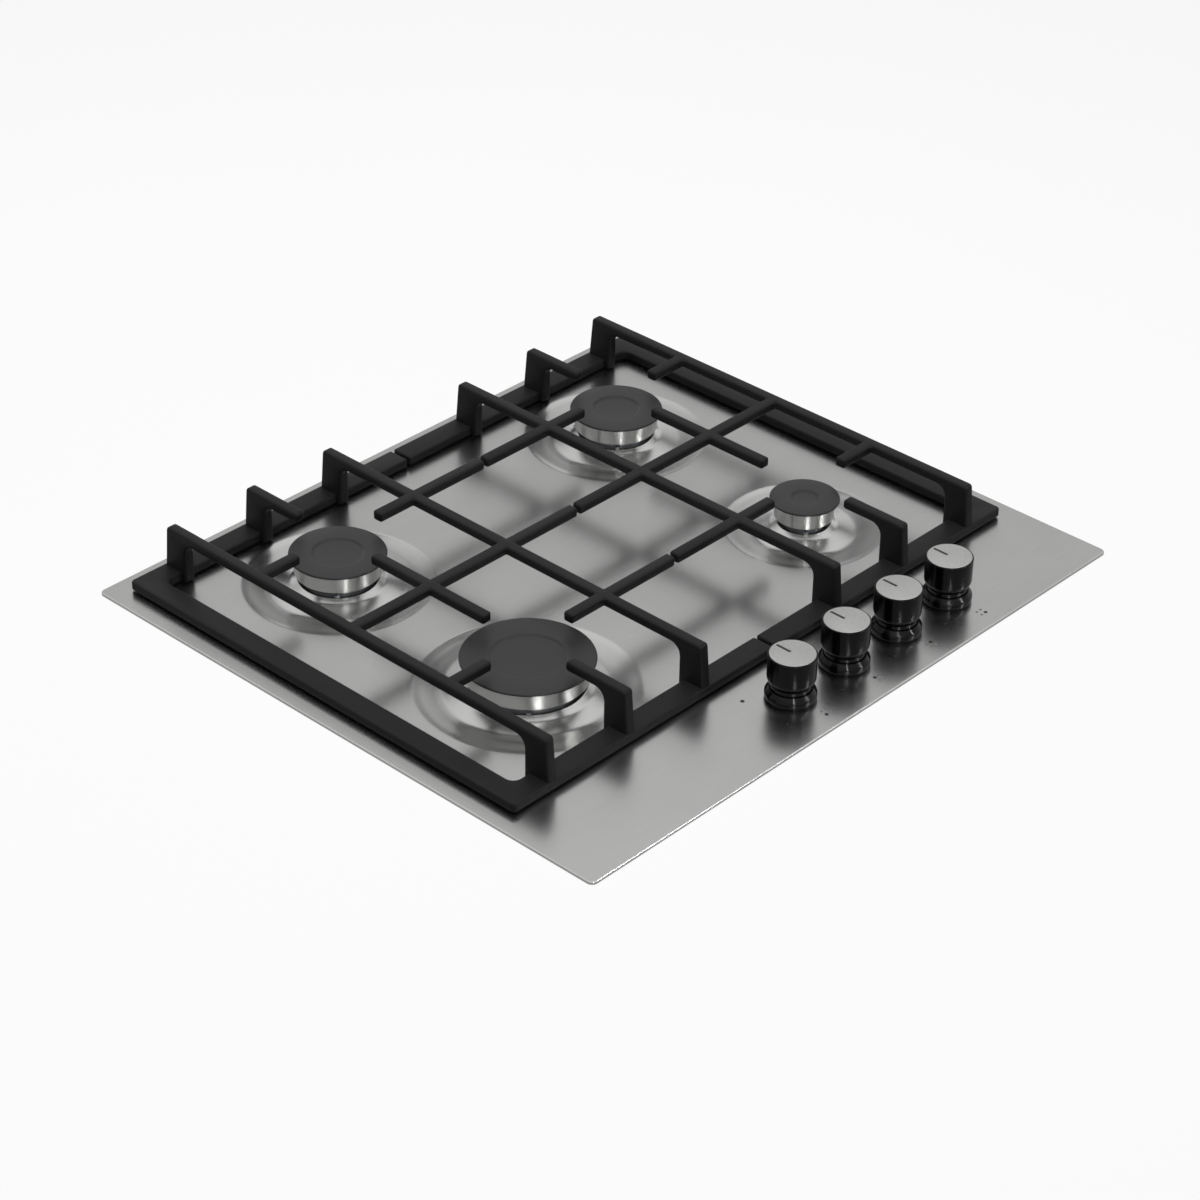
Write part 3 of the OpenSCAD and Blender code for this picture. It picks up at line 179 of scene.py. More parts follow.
def grain(name, base, metallic, roughness, size, stretch, tint, swing, height, **shader_inputs):
    """A finish whose colour, gloss and relief all follow one grain.

    size is the drawn grain's width in millimetres and stretch how much longer it is along X, Y
    and Z. tint is how far the colour leaves base, swing how far the roughness does, and height
    the relief in millimetres. shader_inputs are set as they are on the shader.
    """
    # The share of the noise that is used, and the width of the slow mottle under the grain
    weak, strong, mottle = 0.3, 0.7, 45 * MM
    made, tree, shader = material(name, {"Metallic": metallic, **shader_inputs})
    place = add_node(tree, "ShaderNodeTexCoord")
    scale = [1 / (size * MM * s) for s in stretch]
    mapped = add_node(tree, "ShaderNodeMapping", {}, {
        "Vector": place.outputs["Object"], "Scale": scale})
    fine = add_node(tree, "ShaderNodeTexNoise", {}, {
        "Vector": mapped.outputs["Vector"], "Scale": 1, "Detail": 3, "Roughness": 0.6})
    wide = add_node(tree, "ShaderNodeTexNoise", {}, {
        "Vector": place.outputs["Object"], "Scale": 1 / mottle, "Detail": 2})
    both = add_node(tree, "ShaderNodeMix", {"data_type": "FLOAT"}, {
        0: 0.3, 2: fine.outputs["Fac"], 3: wide.outputs["Fac"]})
    dark = [c * (1 - tint) for c in base[:3]] + [1]
    light = [min(1, c * (1 + tint)) for c in base[:3]] + [1]
    ramp = add_node(tree, "ShaderNodeValToRGB", {}, {"Fac": both.outputs[0]})
    first, last = ramp.color_ramp.elements
    first.position, last.position = weak, strong
    first.color, last.color = dark, light
    gloss = add_node(tree, "ShaderNodeMapRange", {}, {
        "Value": both.outputs[0], "From Min": weak, "From Max": strong,
        "To Min": max(0.02, roughness - swing), "To Max": min(1, roughness + swing)})
    relief = add_node(tree, "ShaderNodeBump", {}, {
        "Strength": 1, "Distance": height * MM, "Height": fine.outputs["Fac"]})
    tree.links.new(ramp.outputs["Color"], shader.inputs["Base Color"])
    tree.links.new(gloss.outputs["Result"], shader.inputs["Roughness"])
    tree.links.new(relief.outputs["Normal"], shader.inputs["Normal"])
    return made


def turned_gleam(made):
    """Turns the shader's tangent round the upright axis, as the tool marks of a turned piece run."""
    tree = made.node_tree
    round_axis = add_node(tree, "ShaderNodeTangent", {"direction_type": "RADIAL", "axis": "Z"})
    tree.links.new(round_axis.outputs["Tangent"], tree.nodes["Principled BSDF"].inputs["Tangent"])
    return made


def make_finishes():
    """Every finish of the cooktop, by its short name."""
    c = colours()
    return {
        # Cold-rolled 430 stainless, belt brushed left to right: long fine lines, soft blurred
        # reflections. The real lines are about 0.05 mm apart and are drawn 0.5 mm wide to show
        "steel": grain("brushed_stainless", c.steel, 1, 0.25, 0.5, (60, 1, 1), 0.05, 0.02, 0.0009),
        # Sand-cast iron under matt enamel: deep grey-black with a pebbled skin of about 0.8 mm
        "iron": grain("matt_enamelled_cast_iron", c.iron, 0, 0.5, 0.8, EVEN, 0.18, 0.1, 0.06,
                      **{"Specular IOR Level": 0.12}),
        # Pressed steel caps under matt black enamel: an even dull grey-black, barely grained
        "enamel": grain("matt_black_enamel", c.enamel, 0, 0.4, 0.5, EVEN, 0.06, 0.04, 0.006,
                        **{"Specular IOR Level": 0.32}),
        # Die-cast aluminium turned bright: clean upright gleams with fine tool lines round it
        "alloy": turned_gleam(grain(
            "turned_aluminium", c.alloy, 1, 0.32, 0.4, (30, 30, 1), 0.08, 0.04, 0.001,
            **{"Anisotropic": 0.95, "Anisotropic Rotation": UPRIGHT_GLEAM})),
        # Turned knobs under black lacquer: a black body with narrow upright gleams
        "knob_black": turned_gleam(grain(
            "glossy_black_lacquer", c.knob_black, 0, 0.17, 6, EVEN, 0.1, 0.03, 0.002,
            **{"Specular IOR Level": 0.2, "Anisotropic": 0.9,
               "Anisotropic Rotation": UPRIGHT_GLEAM})),
        # Spun aluminium insert: pale and sparkling. Its real grain is about 0.1 mm and is drawn
        # 0.8 mm wide to show
        "knob_disc": grain("spun_aluminium", c.knob_disc, 1, 0.5, 0.8, (3, 1, 1), 0.22, 0.1, 0.02),
        # Screen-printed epoxy ink: flat near-black with a faint mottle
        "ink": grain("printed_ink", c.ink, 0, 0.55, 0.3, EVEN, 0.1, 0.05, 0.002),
        # Paler shade of the same ink, for the dots that stand for the other burners
        "pale_ink": grain("pale_printed_ink", linear("#7C7C7C"), 0, 0.55, 0.3, EVEN, 0.1, 0.05, 0.002),
        # Hot-dip galvanised sheet: pale grey with spangles about 9 mm across
        "galvanised": grain("galvanised_sheet", linear("#A9ADB0"), 1, 0.42, 9, EVEN, 0.14, 0.1, 0.01),
        # Bright zinc on machine screws: pale blue-grey, smooth
        "zinc": grain("zinc_plated_steel", linear("#B7BBC0"), 1, 0.28, 1.2, EVEN, 0.08, 0.06, 0.004),
        # Forged brass, bead blasted: warm, dull, fine pits of about 0.4 mm
        "brass": grain("forged_brass", linear("#B08F4A"), 1, 0.36, 0.4, EVEN, 0.12, 0.08, 0.02),
        # Brass turned on a lathe: brighter, with lines round it
        "turned_brass": grain(
            "turned_brass", linear("#C7A558"), 1, 0.22, 0.3, (12, 12, 1), 0.08, 0.05, 0.006),
        # Drawn aluminium tube: satin silver with faint draw marks
        "tube": grain(
            "drawn_aluminium_tube", linear("#C4C6C8"), 1, 0.3, 0.5, (20, 20, 1), 0.06, 0.06, 0.004),
        # Die-cast aluminium as it leaves the mould: grey, slightly frosted
        "die_cast": grain("die_cast_aluminium", linear("#8E9194"), 1, 0.46, 0.7, EVEN, 0.1, 0.08, 0.02),
        # Painted shade on the same casting's underside and skirt, which lie in shadow under the ring:
        # grey-black, dry
        "painted_shade_underside": grain(
            "heat_darkened_casting", linear("#3A3A3A"), 1, 0.6, 0.7, EVEN, 0.1, 0.08, 0.02),
        # Closed-cell EPDM foam strip: dark grey with open cells of about 0.9 mm
        "foam": grain("epdm_foam", linear("#3A3B3C"), 0, 0.9, 0.9, EVEN, 0.25, 0.05, 0.08),
        # Moulded silicone rubber feet: soft dull black
        "rubber": grain("silicone_rubber", linear("#242425"), 0, 0.7, 1.5, EVEN, 0.12, 0.06, 0.02),
        # Glass-filled polyamide: black with a dry, slightly speckled skin
        "polyamide": grain("black_polyamide", linear("#1A1B1D"), 0, 0.5, 0.6, EVEN, 0.2, 0.08, 0.02),
        # Moulded PBT with white silicone leads: ivory, waxy
        "pbt": grain("ivory_pbt", linear("#DCD6C4"), 0, 0.44, 1.4, EVEN, 0.05, 0.06, 0.01),
        # Glazed steatite with a white glass sleeve: smooth and bright
        "ceramic": grain("glazed_steatite", linear("#E6E2DA"), 0, 0.2, 1.6, EVEN, 0.04, 0.05, 0.006),
        # Drawn copper sheath of the probes: warm brown-red, slightly tarnished
        "copper": grain("tarnished_copper", linear("#9A6B4B"), 1, 0.34, 1.8, EVEN, 0.18, 0.1, 0.006),
        # Patented spring wire: grey, smooth
        "spring": grain("spring_steel", linear("#8D9094"), 1, 0.26, 0.8, EVEN, 0.08, 0.05, 0.003),
    }


FINISHES = {}

# The carried-over CAD nodes and the finish that each wears
CAD_FINISHES = {
    "bottom_tray": "galvanised", "fixing_brackets": "galvanised", "gas_rail": "galvanised",
    "worktop_seal": "foam", "grate_feet_left": "rubber", "grate_feet_right": "rubber",
    "bracket_screws": "zinc", "tray_screws": "zinc", "module_screws": "zinc",
    "rail_screws": "zinc", "cup_screws": "zinc", "gas_inlet_fitting": "turned_brass",
    "injectors": "turned_brass", "magnet_units": "turned_brass", "tap_bodies": "brass",
    "ignition_module": "polyamide", "cable_gland": "polyamide", "ignition_switches": "pbt",
    "electrodes": "ceramic", "thermocouples": "copper",
}
CAD_FINISHES.update({"tap_plug_" + b: "turned_brass" for b in BURNERS})
CAD_FINISHES.update({"spindle_" + b: "zinc" for b in BURNERS})
CAD_FINISHES.update({"knob_spring_" + b: "spring" for b in BURNERS})
CAD_FINISHES.update({"gas_tube_" + b: "tube" for b in BURNERS})
CAD_FINISHES.update({"burner_cup_" + b: "die_cast" for b in BURNERS})


# ---- Small modelling steps that the pieces share ----


def rest():
    """Leaves edit mode with nothing selected."""
    if bpy.context.object and bpy.context.object.mode != "OBJECT":
        bpy.ops.object.mode_set(mode="OBJECT")
    bpy.ops.object.select_all(action="DESELECT")


def pick(obj):
    """Selects one object alone and makes it the active one."""
    rest()
    obj.select_set(True)
    bpy.context.view_layer.objects.active = obj


def edit(obj):
    """Opens one object's mesh with all of it selected."""
    pick(obj)
    bpy.ops.object.mode_set(mode="EDIT")
    bpy.ops.mesh.select_all(action="SELECT")


def choose(obj, part, test):
    """Selects in edit mode the vertices, edges or faces that pass the test."""
    bpy.ops.object.mode_set(mode="EDIT")
    bpy.ops.mesh.select_mode(type={"vertices": "VERT", "edges": "EDGE", "polygons": "FACE"}[part])
    bpy.ops.mesh.select_all(action="DESELECT")
    bpy.ops.object.mode_set(mode="OBJECT")
    for item in getattr(obj.data, part):
        item.select = test(item)
    bpy.ops.object.mode_set(mode="EDIT")


def soften(points, radii, steps):
    """An outline in which each corner with a radius becomes an arc of that radius."""
    made = []
    for k, point in enumerate(points):
        r = radii.get(k, 0)
        if not r:
            made.append(tuple(point))
            continue
        p = Vector(point)
        before = (Vector(points[k - 1]) - p).normalized()
        after = (Vector(points[(k + 1) % len(points)]) - p).normalized()
        half = before.angle(after) / 2
        middle = p + (before + after).normalized() * (r / math.sin(half))
        a, b = p + before * (r / math.tan(half)) - middle, p + after * (r / math.tan(half)) - middle
        turn = a.angle(b)
        for n in range(steps + 1):
            t = n / steps
            spoke = (a * math.sin((1 - t) * turn) + b * math.sin(t * turn)) / math.sin(turn)
            made.append(tuple(middle + spoke))
    return made


def draw(name, points, closed):
    """Draws a line point by point, as extruded vertices. The points are metres."""
    rest()
    bpy.ops.mesh.primitive_plane_add(size=MM, location=points[0])
    obj = bpy.context.object
    obj.name = obj.data.name = name
    bpy.ops.object.mode_set(mode="EDIT")
    bpy.ops.mesh.select_mode(type="VERT")
    bpy.ops.mesh.select_all(action="SELECT")
    bpy.ops.mesh.merge(type="CENTER")
    for a, b in zip(points, points[1:]):
        bpy.ops.mesh.extrude_region_move(TRANSFORM_OT_translate={"value": tuple(Vector(b) - Vector(a))})
    if closed:
        bpy.ops.mesh.select_all(action="SELECT")
        bpy.ops.mesh.edge_face_add()
    return obj


def turned(name, outline, centre, steps=TURNED_STEPS, loop=False):
    """A turned piece: its outline of (radius, height) pairs in millimetres, spun round centre."""
    top = sizes().plate_top
    points = [(centre[0] + r * MM, centre[1], top + z * MM) for r, z in outline]
    if loop:
        points.append(points[0])
    obj = draw(name, points, False)
    bpy.ops.mesh.select_all(action="SELECT")
    bpy.ops.mesh.spin(steps=steps, angle=2 * math.pi, center=(centre[0], centre[1], top),
                      axis=(0, 0, 1))
    bpy.ops.mesh.select_all(action="SELECT")
    bpy.ops.mesh.remove_doubles(threshold=0.002 * MM)
    bpy.ops.mesh.normals_make_consistent(inside=False)
    settle(obj)
    return obj


def pulled(name, points, along):
    """A closed outline filled and pulled along a direction. The points are metres."""
    obj = draw(name, points, True)
    bpy.ops.mesh.select_all(action="SELECT")
    bpy.ops.mesh.extrude_region_move(TRANSFORM_OT_translate={"value": along})
    bpy.ops.mesh.select_all(action="SELECT")
    bpy.ops.mesh.normals_make_consistent(inside=False)
    settle(obj)
    return obj


def bar(name, low, high):
    """A straight bar between two corners, in metres."""
    rest()
    low, high = Vector(low), Vector(high)
    bpy.ops.mesh.primitive_cube_add(size=1, location=(low + high) / 2, scale=high - low)
    obj = bpy.context.object
    obj.name = obj.data.name = name
    settle(obj)
    return obj


def settle(obj):
    """Moves an object's place into its mesh."""
    pick(obj)
    bpy.ops.object.transform_apply(location=True, rotation=True, scale=True)
    rest()


def modify(obj, kind, **settings):
    """Adds a modifier, sets it and applies it."""
    pick(obj)
    step = obj.modifiers.new(kind.lower(), kind)
    for key, value in settings.items():
        setattr(step, key, value)
    bpy.ops.object.modifier_apply(modifier=step.name)
    rest()


def cast_together(obj, others):
    """Joins solids that run through each other into one closed skin."""
    for other in others:
        modify(obj, "BOOLEAN", operation="UNION", solver="EXACT", object=other)
        bpy.data.objects.remove(other)


def weld(objects, name):
    """Puts several objects into one."""
    rest()
    for obj in objects:
        obj.select_set(True)
    bpy.context.view_layer.objects.active = objects[0]
    bpy.ops.object.join()
    objects[0].name = objects[0].data.name = name
    rest()
    return objects[0]


def finish_piece(obj, finish, body, nodes=(), angle=32):
    """Smooths a piece, gives it its finish, and ties it to its body and CAD nodes."""
    settle(obj)
    pick(obj)
    bpy.ops.object.shade_smooth_by_angle(angle=math.radians(angle))
    rest()
    obj.data.materials.clear()
    obj.data.materials.append(FINISHES[finish])
    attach(obj, body)
    if nodes:
        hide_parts(*nodes)


# ---- The pieces ----


class BuildPlate(bpy.types.Operator):
    """Pressed plate: folded rim, four soft dishes that rise to the burners' collars"""
    bl_idname = "cooktop.build_plate"
    bl_label = "Build Plate"

    def execute(self, context):
        s = sizes()
        top = s.plate_top
        half_w, half_d = s.plate_width / 2, s.plate_depth / 2
        corner = s.plate_corner / MM
        rolled = 0.9 * MM
        dish_edge = 7

        def on_top(vertex, slack=0.01 * MM):
            return plate.data.vertices[vertex].co.z > top - slack

        def on_border(vertex):
            """Whether a vertex lies where the flat top meets the rolled edge."""
            co = plate.data.vertices[vertex].co
            out = math.hypot(max(0, abs(co.x) - half_w + s.plate_corner),
                             max(0, abs(co.y) - half_d + s.plate_corner))
            return on_top(vertex) and out > s.plate_corner - rolled - 0.05 * MM

        corners = ((-1, -1), (1, -1), (1, 1), (-1, 1))
        outline = soften([(x * half_w / MM, y * half_d / MM) for x, y in corners],
                         {k: corner for k in range(4)}, 8)
        plate = pulled("hob_plate", [(x * MM, y * MM, top - s.rim_height) for x, y in outline],
                       (0, 0, s.rim_height))
        choose(plate, "edges", lambda e: all(on_top(v, 0.1 * MM) for v in e.vertices))
        bpy.ops.mesh.bevel(offset=rolled, segments=4, profile=0.5, affect="EDGES", clamp_overlap=False)
        choose(plate, "polygons", lambda f: abs(f.normal.z) > 0.999)
        bpy.ops.mesh.delete(type="FACE")
        for burner in BURNERS:
            bpy.ops.mesh.select_all(action="DESELECT")
            bpy.ops.mesh.primitive_circle_add(
                vertices=TURNED_STEPS, radius=(DISH_R[burner] + dish_edge) * MM,
                location=(*burner_place(burner), top))
        choose(plate, "edges", lambda e: all(on_top(v) for v in e.vertices))
        bpy.ops.mesh.fill(use_beauty=True)
        # Each dish: a soft shoulder, a shallow bowl, and the collar that rises to the burner
        dishes = []
        for burner in BURNERS:
            dish, ring = DISH_R[burner], CAP_R[burner] - RING_INSET
            line = [
                (dish + dish_edge, 0), (dish + 5, 0), (dish, -0.9), (dish - 12, -1.9),
                (dish - 17, -2), (ring + 3, 1.8), (ring - 2, 5), (ring - 7, 5)]
            dishes.append(turned(
                "dish_" + burner, soften(line, {1: 14, 2: 55, 3: 50, 4: 16, 5: 10, 6: 1.6}, 6),
                burner_place(burner)))
        weld([plate] + dishes, "hob_plate")
        edit(plate)
        bpy.ops.mesh.remove_doubles(threshold=0.02 * MM)
        bpy.ops.mesh.normals_make_consistent(inside=False)
        bpy.ops.object.mode_set(mode="OBJECT")
        if sum(f.normal.z * f.area for f in plate.data.polygons) < 0:
            edit(plate)
            bpy.ops.mesh.flip_normals()
        modify(plate, "SOLIDIFY", thickness=s.sheet, offset=-1, use_even_offset=True)
        finish_piece(plate, "steel", "hob", ["top_plate"], 25)
        # The flat top keeps its own upright normals where the rolled edge begins
        choose(plate, "edges", lambda e: all(on_border(v) for v in e.vertices))
        bpy.ops.mesh.mark_sharp()
        rest()
        return {"FINISHED"}


class BuildGrates(bpy.types.Operator):
    """Two cast grates: base frame, uprights, long bars and fingers in one rounded casting"""
    bl_idname = "cooktop.build_grates"
    bl_label = "Build Grates"

    def execute(self, context):
        s = sizes()
        top, high = s.plate_top, s.plate_top + s.grate_top
        low, wide = high - s.bar_height, s.bar_width / 2
        # Base frame, in millimetres: half depth, outer side, widths of its rails, heights
        far, side, rail, side_rail, under, frame_top = 202.5, 272.5, 19.5, 19, 1.2, 8.5
        # An upright's foot, the top of its lean and its inner face, in millimetres from the front
        toe, lean, heel = 0.5, 4.5, 24.5
        # Long bars either side of the burners, the gap between the grates, and the open middle
        pitch, split, finger = 79.5 * MM, 1.5 * MM, 41 * MM
        inner, outer = s.burner_x - pitch, s.burner_x + pitch
        middle = (s.burner_front + s.burner_back) / 2
        front = middle - far * MM

        # Side view of a rib from its front foot to y_end, in millimetres from the front edge
        def rib(x, y_end, whole):
            reach = (y_end - front) / MM
            h, b = s.grate_top / MM, s.bar_height / MM
            if whole:
                line = [(toe, under), (lean, h), (2 * reach - lean, h), (2 * reach - toe, under),
                        (2 * reach - heel, under), (2 * reach - heel, h - b), (heel, h - b),
                        (heel, under)]
                radii = {1: 3, 2: 3, 5: 9, 6: 9}
            else:
                line = [(toe, under), (lean, h), (reach, h), (reach, h - b), (heel, h - b),
                        (heel, under)]
                radii = {1: 3, 2: 2.5, 3: 2.5, 4: 9}
            points = [(x - wide, front + y * MM, top + z * MM) for y, z in soften(line, radii, 6)]
            return pulled("rib", points, (s.bar_width, 0, 0))

        # Plan of the base frame: a C that is open towards the other grate
        end = split / MM
        plan = soften([
            (end, -far), (side, -far), (side, far), (end, far), (end, far - rail),
            (side - side_rail, far - rail), (side - side_rail, rail - far), (end, rail - far)],
            {1: 4, 2: 4, 5: 7, 6: 7}, 6)
        grate = pulled("grate_casting_right",
                       [(x * MM, middle + y * MM, top + under * MM) for x, y in plan],
                       (0, 0, (frame_top - under) * MM))
        ribs = [rib(inner, middle, True), rib(outer, middle, True)]
        near = rib(s.burner_x, s.burner_front - finger, False)
        ribs.append(near)
        rest()
        far_rib = near.copy()
        far_rib.data = near.data.copy()
        context.collection.objects.link(far_rib)
        edit(far_rib)
        bpy.ops.transform.resize(value=(1, -1, 1), center_override=(0, middle, 0))
        bpy.ops.mesh.normals_make_consistent(inside=False)
        bpy.ops.object.mode_set(mode="OBJECT")
        ribs.append(far_rib)
        bars = [
            bar("bar", (s.burner_x - wide, s.burner_front + finger, low),
                (s.burner_x + wide, s.burner_back - finger, high)),
            bar("bar", (split, middle - wide, low), (outer, middle + wide, high)),
        ]
        for y in (s.burner_front, s.burner_back):
            bars.append(bar("bar", (split, y - wide, low), (s.burner_x - finger, y + wide, high)))
            bars.append(bar("bar", (s.burner_x + finger, y - wide, low), (outer, y + wide, high)))
        cast_together(ribs[0], ribs[1:] + bars)
        for part, edge in ((ribs[0], s.bar_edge), (grate, 1.5 * MM)):
            edit(part)
            bpy.ops.mesh.dissolve_limited(angle_limit=math.radians(1), use_dissolve_boundaries=False)
            bpy.ops.mesh.remove_doubles(threshold=0.02 * MM)
            bpy.ops.object.mode_set(mode="OBJECT")
            modify(part, "BEVEL", width=edge, segments=4, limit_method="ANGLE",
                   angle_limit=math.radians(32), use_clamp_overlap=False)
        cast_together(grate, ribs[:1])
        edit(grate)
        bpy.ops.mesh.remove_doubles(threshold=0.005 * MM)
        bpy.ops.mesh.normals_make_consistent(inside=False)
        bpy.ops.object.mode_set(mode="OBJECT")
        twin = grate.copy()
        twin.data = grate.data.copy()
        twin.name = twin.data.name = "grate_casting_left"
        context.collection.objects.link(twin)
        edit(twin)
        bpy.ops.transform.resize(value=(-1, 1, 1), center_override=(0, 0, 0))
        bpy.ops.mesh.normals_make_consistent(inside=False)
        bpy.ops.object.mode_set(mode="OBJECT")
        for piece, side_name in ((twin, "left"), (grate, "right")):
            finish_piece(piece, "iron", "grate_%s_set" % side_name, ["grate_" + side_name], 38)
        return {"FINISHED"}


class BuildCaps(bpy.types.Operator):
    """Four enamelled caps with a sunk middle and a soft edge"""
    bl_idname = "cooktop.build_caps"
    bl_label = "Build Caps"

    def execute(self, context):
        for burner in BURNERS:
            r, seat, high, sunk = CAP_R[burner], RING_TOP, RING_TOP + 1.6, 1.3
            # The sunk middle's edge, and the lip under the cap that centres it on its ring
            middle, lip, lip_low = r * CAP_MIDDLE[burner], r - 8.4, RING_TOP - 3
            line = [
                (0, high - sunk), (middle - 1.6, high - sunk), (middle, high), (r, high), (r, seat),
                (lip, seat), (lip, lip_low), (lip - 2, lip_low), (lip - 2, seat), (0, seat)]
            cap = turned("cap_" + burner, soften(line, {1: 1.2, 2: 1.2, 3: 1, 4: 0.3}, 4),
                         burner_place(burner))
            finish_piece(cap, "enamel", "cap_" + burner, ["burner_cap_" + burner])
        return {"FINISHED"}


class BuildBurnerRings(bpy.types.Operator):
    """Four turned burner rings with a slot for each flame under the cap"""
    bl_idname = "cooktop.build_burner_rings"
    bl_label = "Build Burner Rings"

    def execute(self, context):
        top = sizes().plate_top
        for burner in BURNERS:
            r = CAP_R[burner] - RING_INSET
            x, y = burner_place(burner)
            # The gas chamber's wall and floor, the skirt under it and the neck with its bore
            inside, floor, under = r - 4, 12.5, 10
            skirt, skirt_low, neck, bore, neck_low = r - 10.3, 6, 6.5, 4.5, -9
            line = [
                (bore, floor), (inside, floor), (inside, RING_TOP), (r, RING_TOP), (r, under),
                (skirt, under), (skirt, skirt_low), (skirt - 2, skirt_low), (skirt - 2, under),
                (neck, under), (neck, neck_low), (bore, neck_low)]
            ring = turned("ring_" + burner, soften(line, {3: 0.4, 4: 1.2}, 4), (x, y), loop=True)
            # A flame slot 2 mm wide every 7 mm, cut down from the ring's top
            slots = int(2 * math.pi * r / 7)
            cutter = bar("cutter", (x + (r - 5) * MM, y - MM, top + (RING_TOP - 2.2) * MM),
                         (x + (r + 1) * MM, y + MM, top + (RING_TOP + 1) * MM))
            edit(cutter)
            bpy.ops.mesh.spin(steps=slots, dupli=True, angle=2 * math.pi, center=(x, y, top),
                              axis=(0, 0, 1), use_auto_merge=False)
            bpy.ops.mesh.select_all(action="SELECT")
            bpy.ops.mesh.remove_doubles(threshold=0.01 * MM)
            bpy.ops.object.mode_set(mode="OBJECT")
            modify(ring, "BOOLEAN", operation="DIFFERENCE", solver="EXACT", object=cutter)
            bpy.data.objects.remove(cutter)
            finish_piece(ring, "alloy", "head_" + burner, ["burner_head_" + burner])
            # The faces under the ring and its skirt take a grey-black painted shade
            ring.data.materials.append(FINISHES["painted_shade_underside"])
            choose(ring, "polygons", lambda f: (
                ring.data.vertices[f.vertices[0]].co.z < top + (under + 0.3) * MM
                and math.hypot(f.center.x - x, f.center.y - y) < (r - 1.3) * MM))
            context.object.active_material_index = 1
            bpy.ops.object.material_slot_assign()
            rest()
        return {"FINISHED"}


class BuildKnobs(bpy.types.Operator):
    """Four glossy knobs, each with its spun disc and its printed pointer line"""
    bl_idname = "cooktop.build_knobs"
    bl_label = "Build Knobs"

    def execute(self, context):
        s = sizes()
        r, high = s.knob_radius / MM, s.knob_top / MM
        # Millimetres: the disc and the recess it lies in, and the grip's waist, skirt and hollow
        disc_r, recess_r, disc_low, brim = 17, 17.05, high - 1.2, high - 0.3
        waist_top, waist, skirt_top, skirt, foot = 17.5, 15.6, 13, 15.3, 5
        hollow, roof, boss, boss_low = 13, high - 4.2, 7, 8
        # The bore that takes the spindle, with its clearance
        bore, bore_top = 4.05, 32.05
        # The pointer: half its width, its two ends from the middle, and how it lies in the disc
        half, near, far, sunk, proud = 1.1 * MM, 2 * MM, 15.2 * MM, 0.2 * MM, 0.04 * MM
        line_top = s.plate_top + s.knob_top
        for burner in BURNERS:
            x, y = knob_place(burner)
            body = "control_" + burner
            line = [
                (0, disc_low), (recess_r, disc_low), (recess_r, brim), (r, brim), (r, waist_top),
                (waist, skirt_top), (skirt, foot), (hollow, foot), (hollow, roof), (boss, roof),
                (boss, boss_low), (bore, boss_low), (bore, bore_top), (0, bore_top)]
            knob = turned("knob_grip_" + burner, soften(line, {3: 0.5, 4: 6, 5: 2, 6: 0.4}, 5), (x, y))
            finish_piece(knob, "knob_black", body, ["knob_" + burner])
            disc = turned("knob_cap_" + burner, soften(
                [(0, high), (disc_r, high), (disc_r, disc_low), (0, disc_low)], {1: 0.25}, 3), (x, y))
            finish_piece(disc, "knob_disc", body, ["knob_disc_" + burner])
            pointer = bar("pointer_" + burner, (x - half, y + near, line_top - sunk),
                          (x + half, y + far, line_top + proud))
            modify(pointer, "BEVEL", width=0.03 * MM, segments=2, limit_method="NONE")
            finish_piece(pointer, "ink", body)
        return {"FINISHED"}


class BuildKnobRings(bpy.types.Operator):
    """The four fixed rings that the knobs sink into"""
    bl_idname = "cooktop.build_knob_rings"
    bl_label = "Build Knob Rings"

    def execute(self, context):
        # Millimetres: the spindle's bore, the cup the knob sinks into, and the flared outside
        bore, floor, cup, rim = 4.4, 1.5, 15.75, 9.5
        flare, flare_top, flare_low, foot, peg, peg_low = 19.3, 6, 2.2, 17.8, 8, -2.5
        line = [
            (bore, floor), (cup, floor), (cup, rim), (16.4, rim), (flare, flare_top),
            (flare, flare_low), (foot, 0), (peg, 0), (peg, peg_low), (bore, peg_low)]
        outline = soften(line, {2: 0.25, 3: 0.25, 4: 3, 5: 2}, 6)
        rings = [turned("knob_ring_" + burner, outline, knob_place(burner), loop=True)
                 for burner in BURNERS]
        ring = weld(rings, "knob_rings")
        finish_piece(ring, "knob_black", "hob", ["knob_bezels"])
        return {"FINISHED"}


class BuildMarks(bpy.types.Operator):
    """Printed marks beside each knob: a square of four dots with its own burner's one dark"""
    bl_idname = "cooktop.build_marks"
    bl_label = "Build Marks"

    def execute(self, context):
        filled = {"fl": (-1, -1), "bl": (-1, 1), "br": (1, 1), "fr": (1, -1)}

        def dot(r, x, y):
            """A printed dot, proud of the plate by the ink's thickness."""
            proud, sunk = 0.03, -0.05
            return turned("dot", [(0, proud), (r, proud), (r, sunk), (0, sunk)], (x, y), 20)

        dark, pale = [], []
        for burner in BURNERS:
            x, y = knob_place(burner)
            for sx in SIDES:
                for sy in SIDES:
                    chosen = filled[burner] == (sx, sy)
                    (dark if chosen else pale).append(dot(
                        1.5 if chosen else 1.1,
                        x + (3.5 + sx * 2.3) * MM, y + (-30.5 + sy * 2.4) * MM))
            # Small and large flame, beside the turn of the knob
            dark.append(dot(1.2, x - 27.5 * MM, y - 21 * MM))
            dark.append(dot(1.7, x - 28.5 * MM, y + 21 * MM))
        finish_piece(weld(dark, "plate_marks_dark"), "ink", "hob")
        finish_piece(weld(pale, "plate_marks_pale"), "pale_ink", "hob")
        return {"FINISHED"}


class FinishFrameParts(bpy.types.Operator):
    """Gives every carried-over part of the frame its own finish"""
    bl_idname = "cooktop.finish_frame_parts"
    bl_label = "Finish Frame Parts"

    def execute(self, context):
        for node, finish in CAD_FINISHES.items():
            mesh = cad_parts[node].data
            mesh.materials.clear()
            mesh.materials.append(FINISHES[finish])
        return {"FINISHED"}


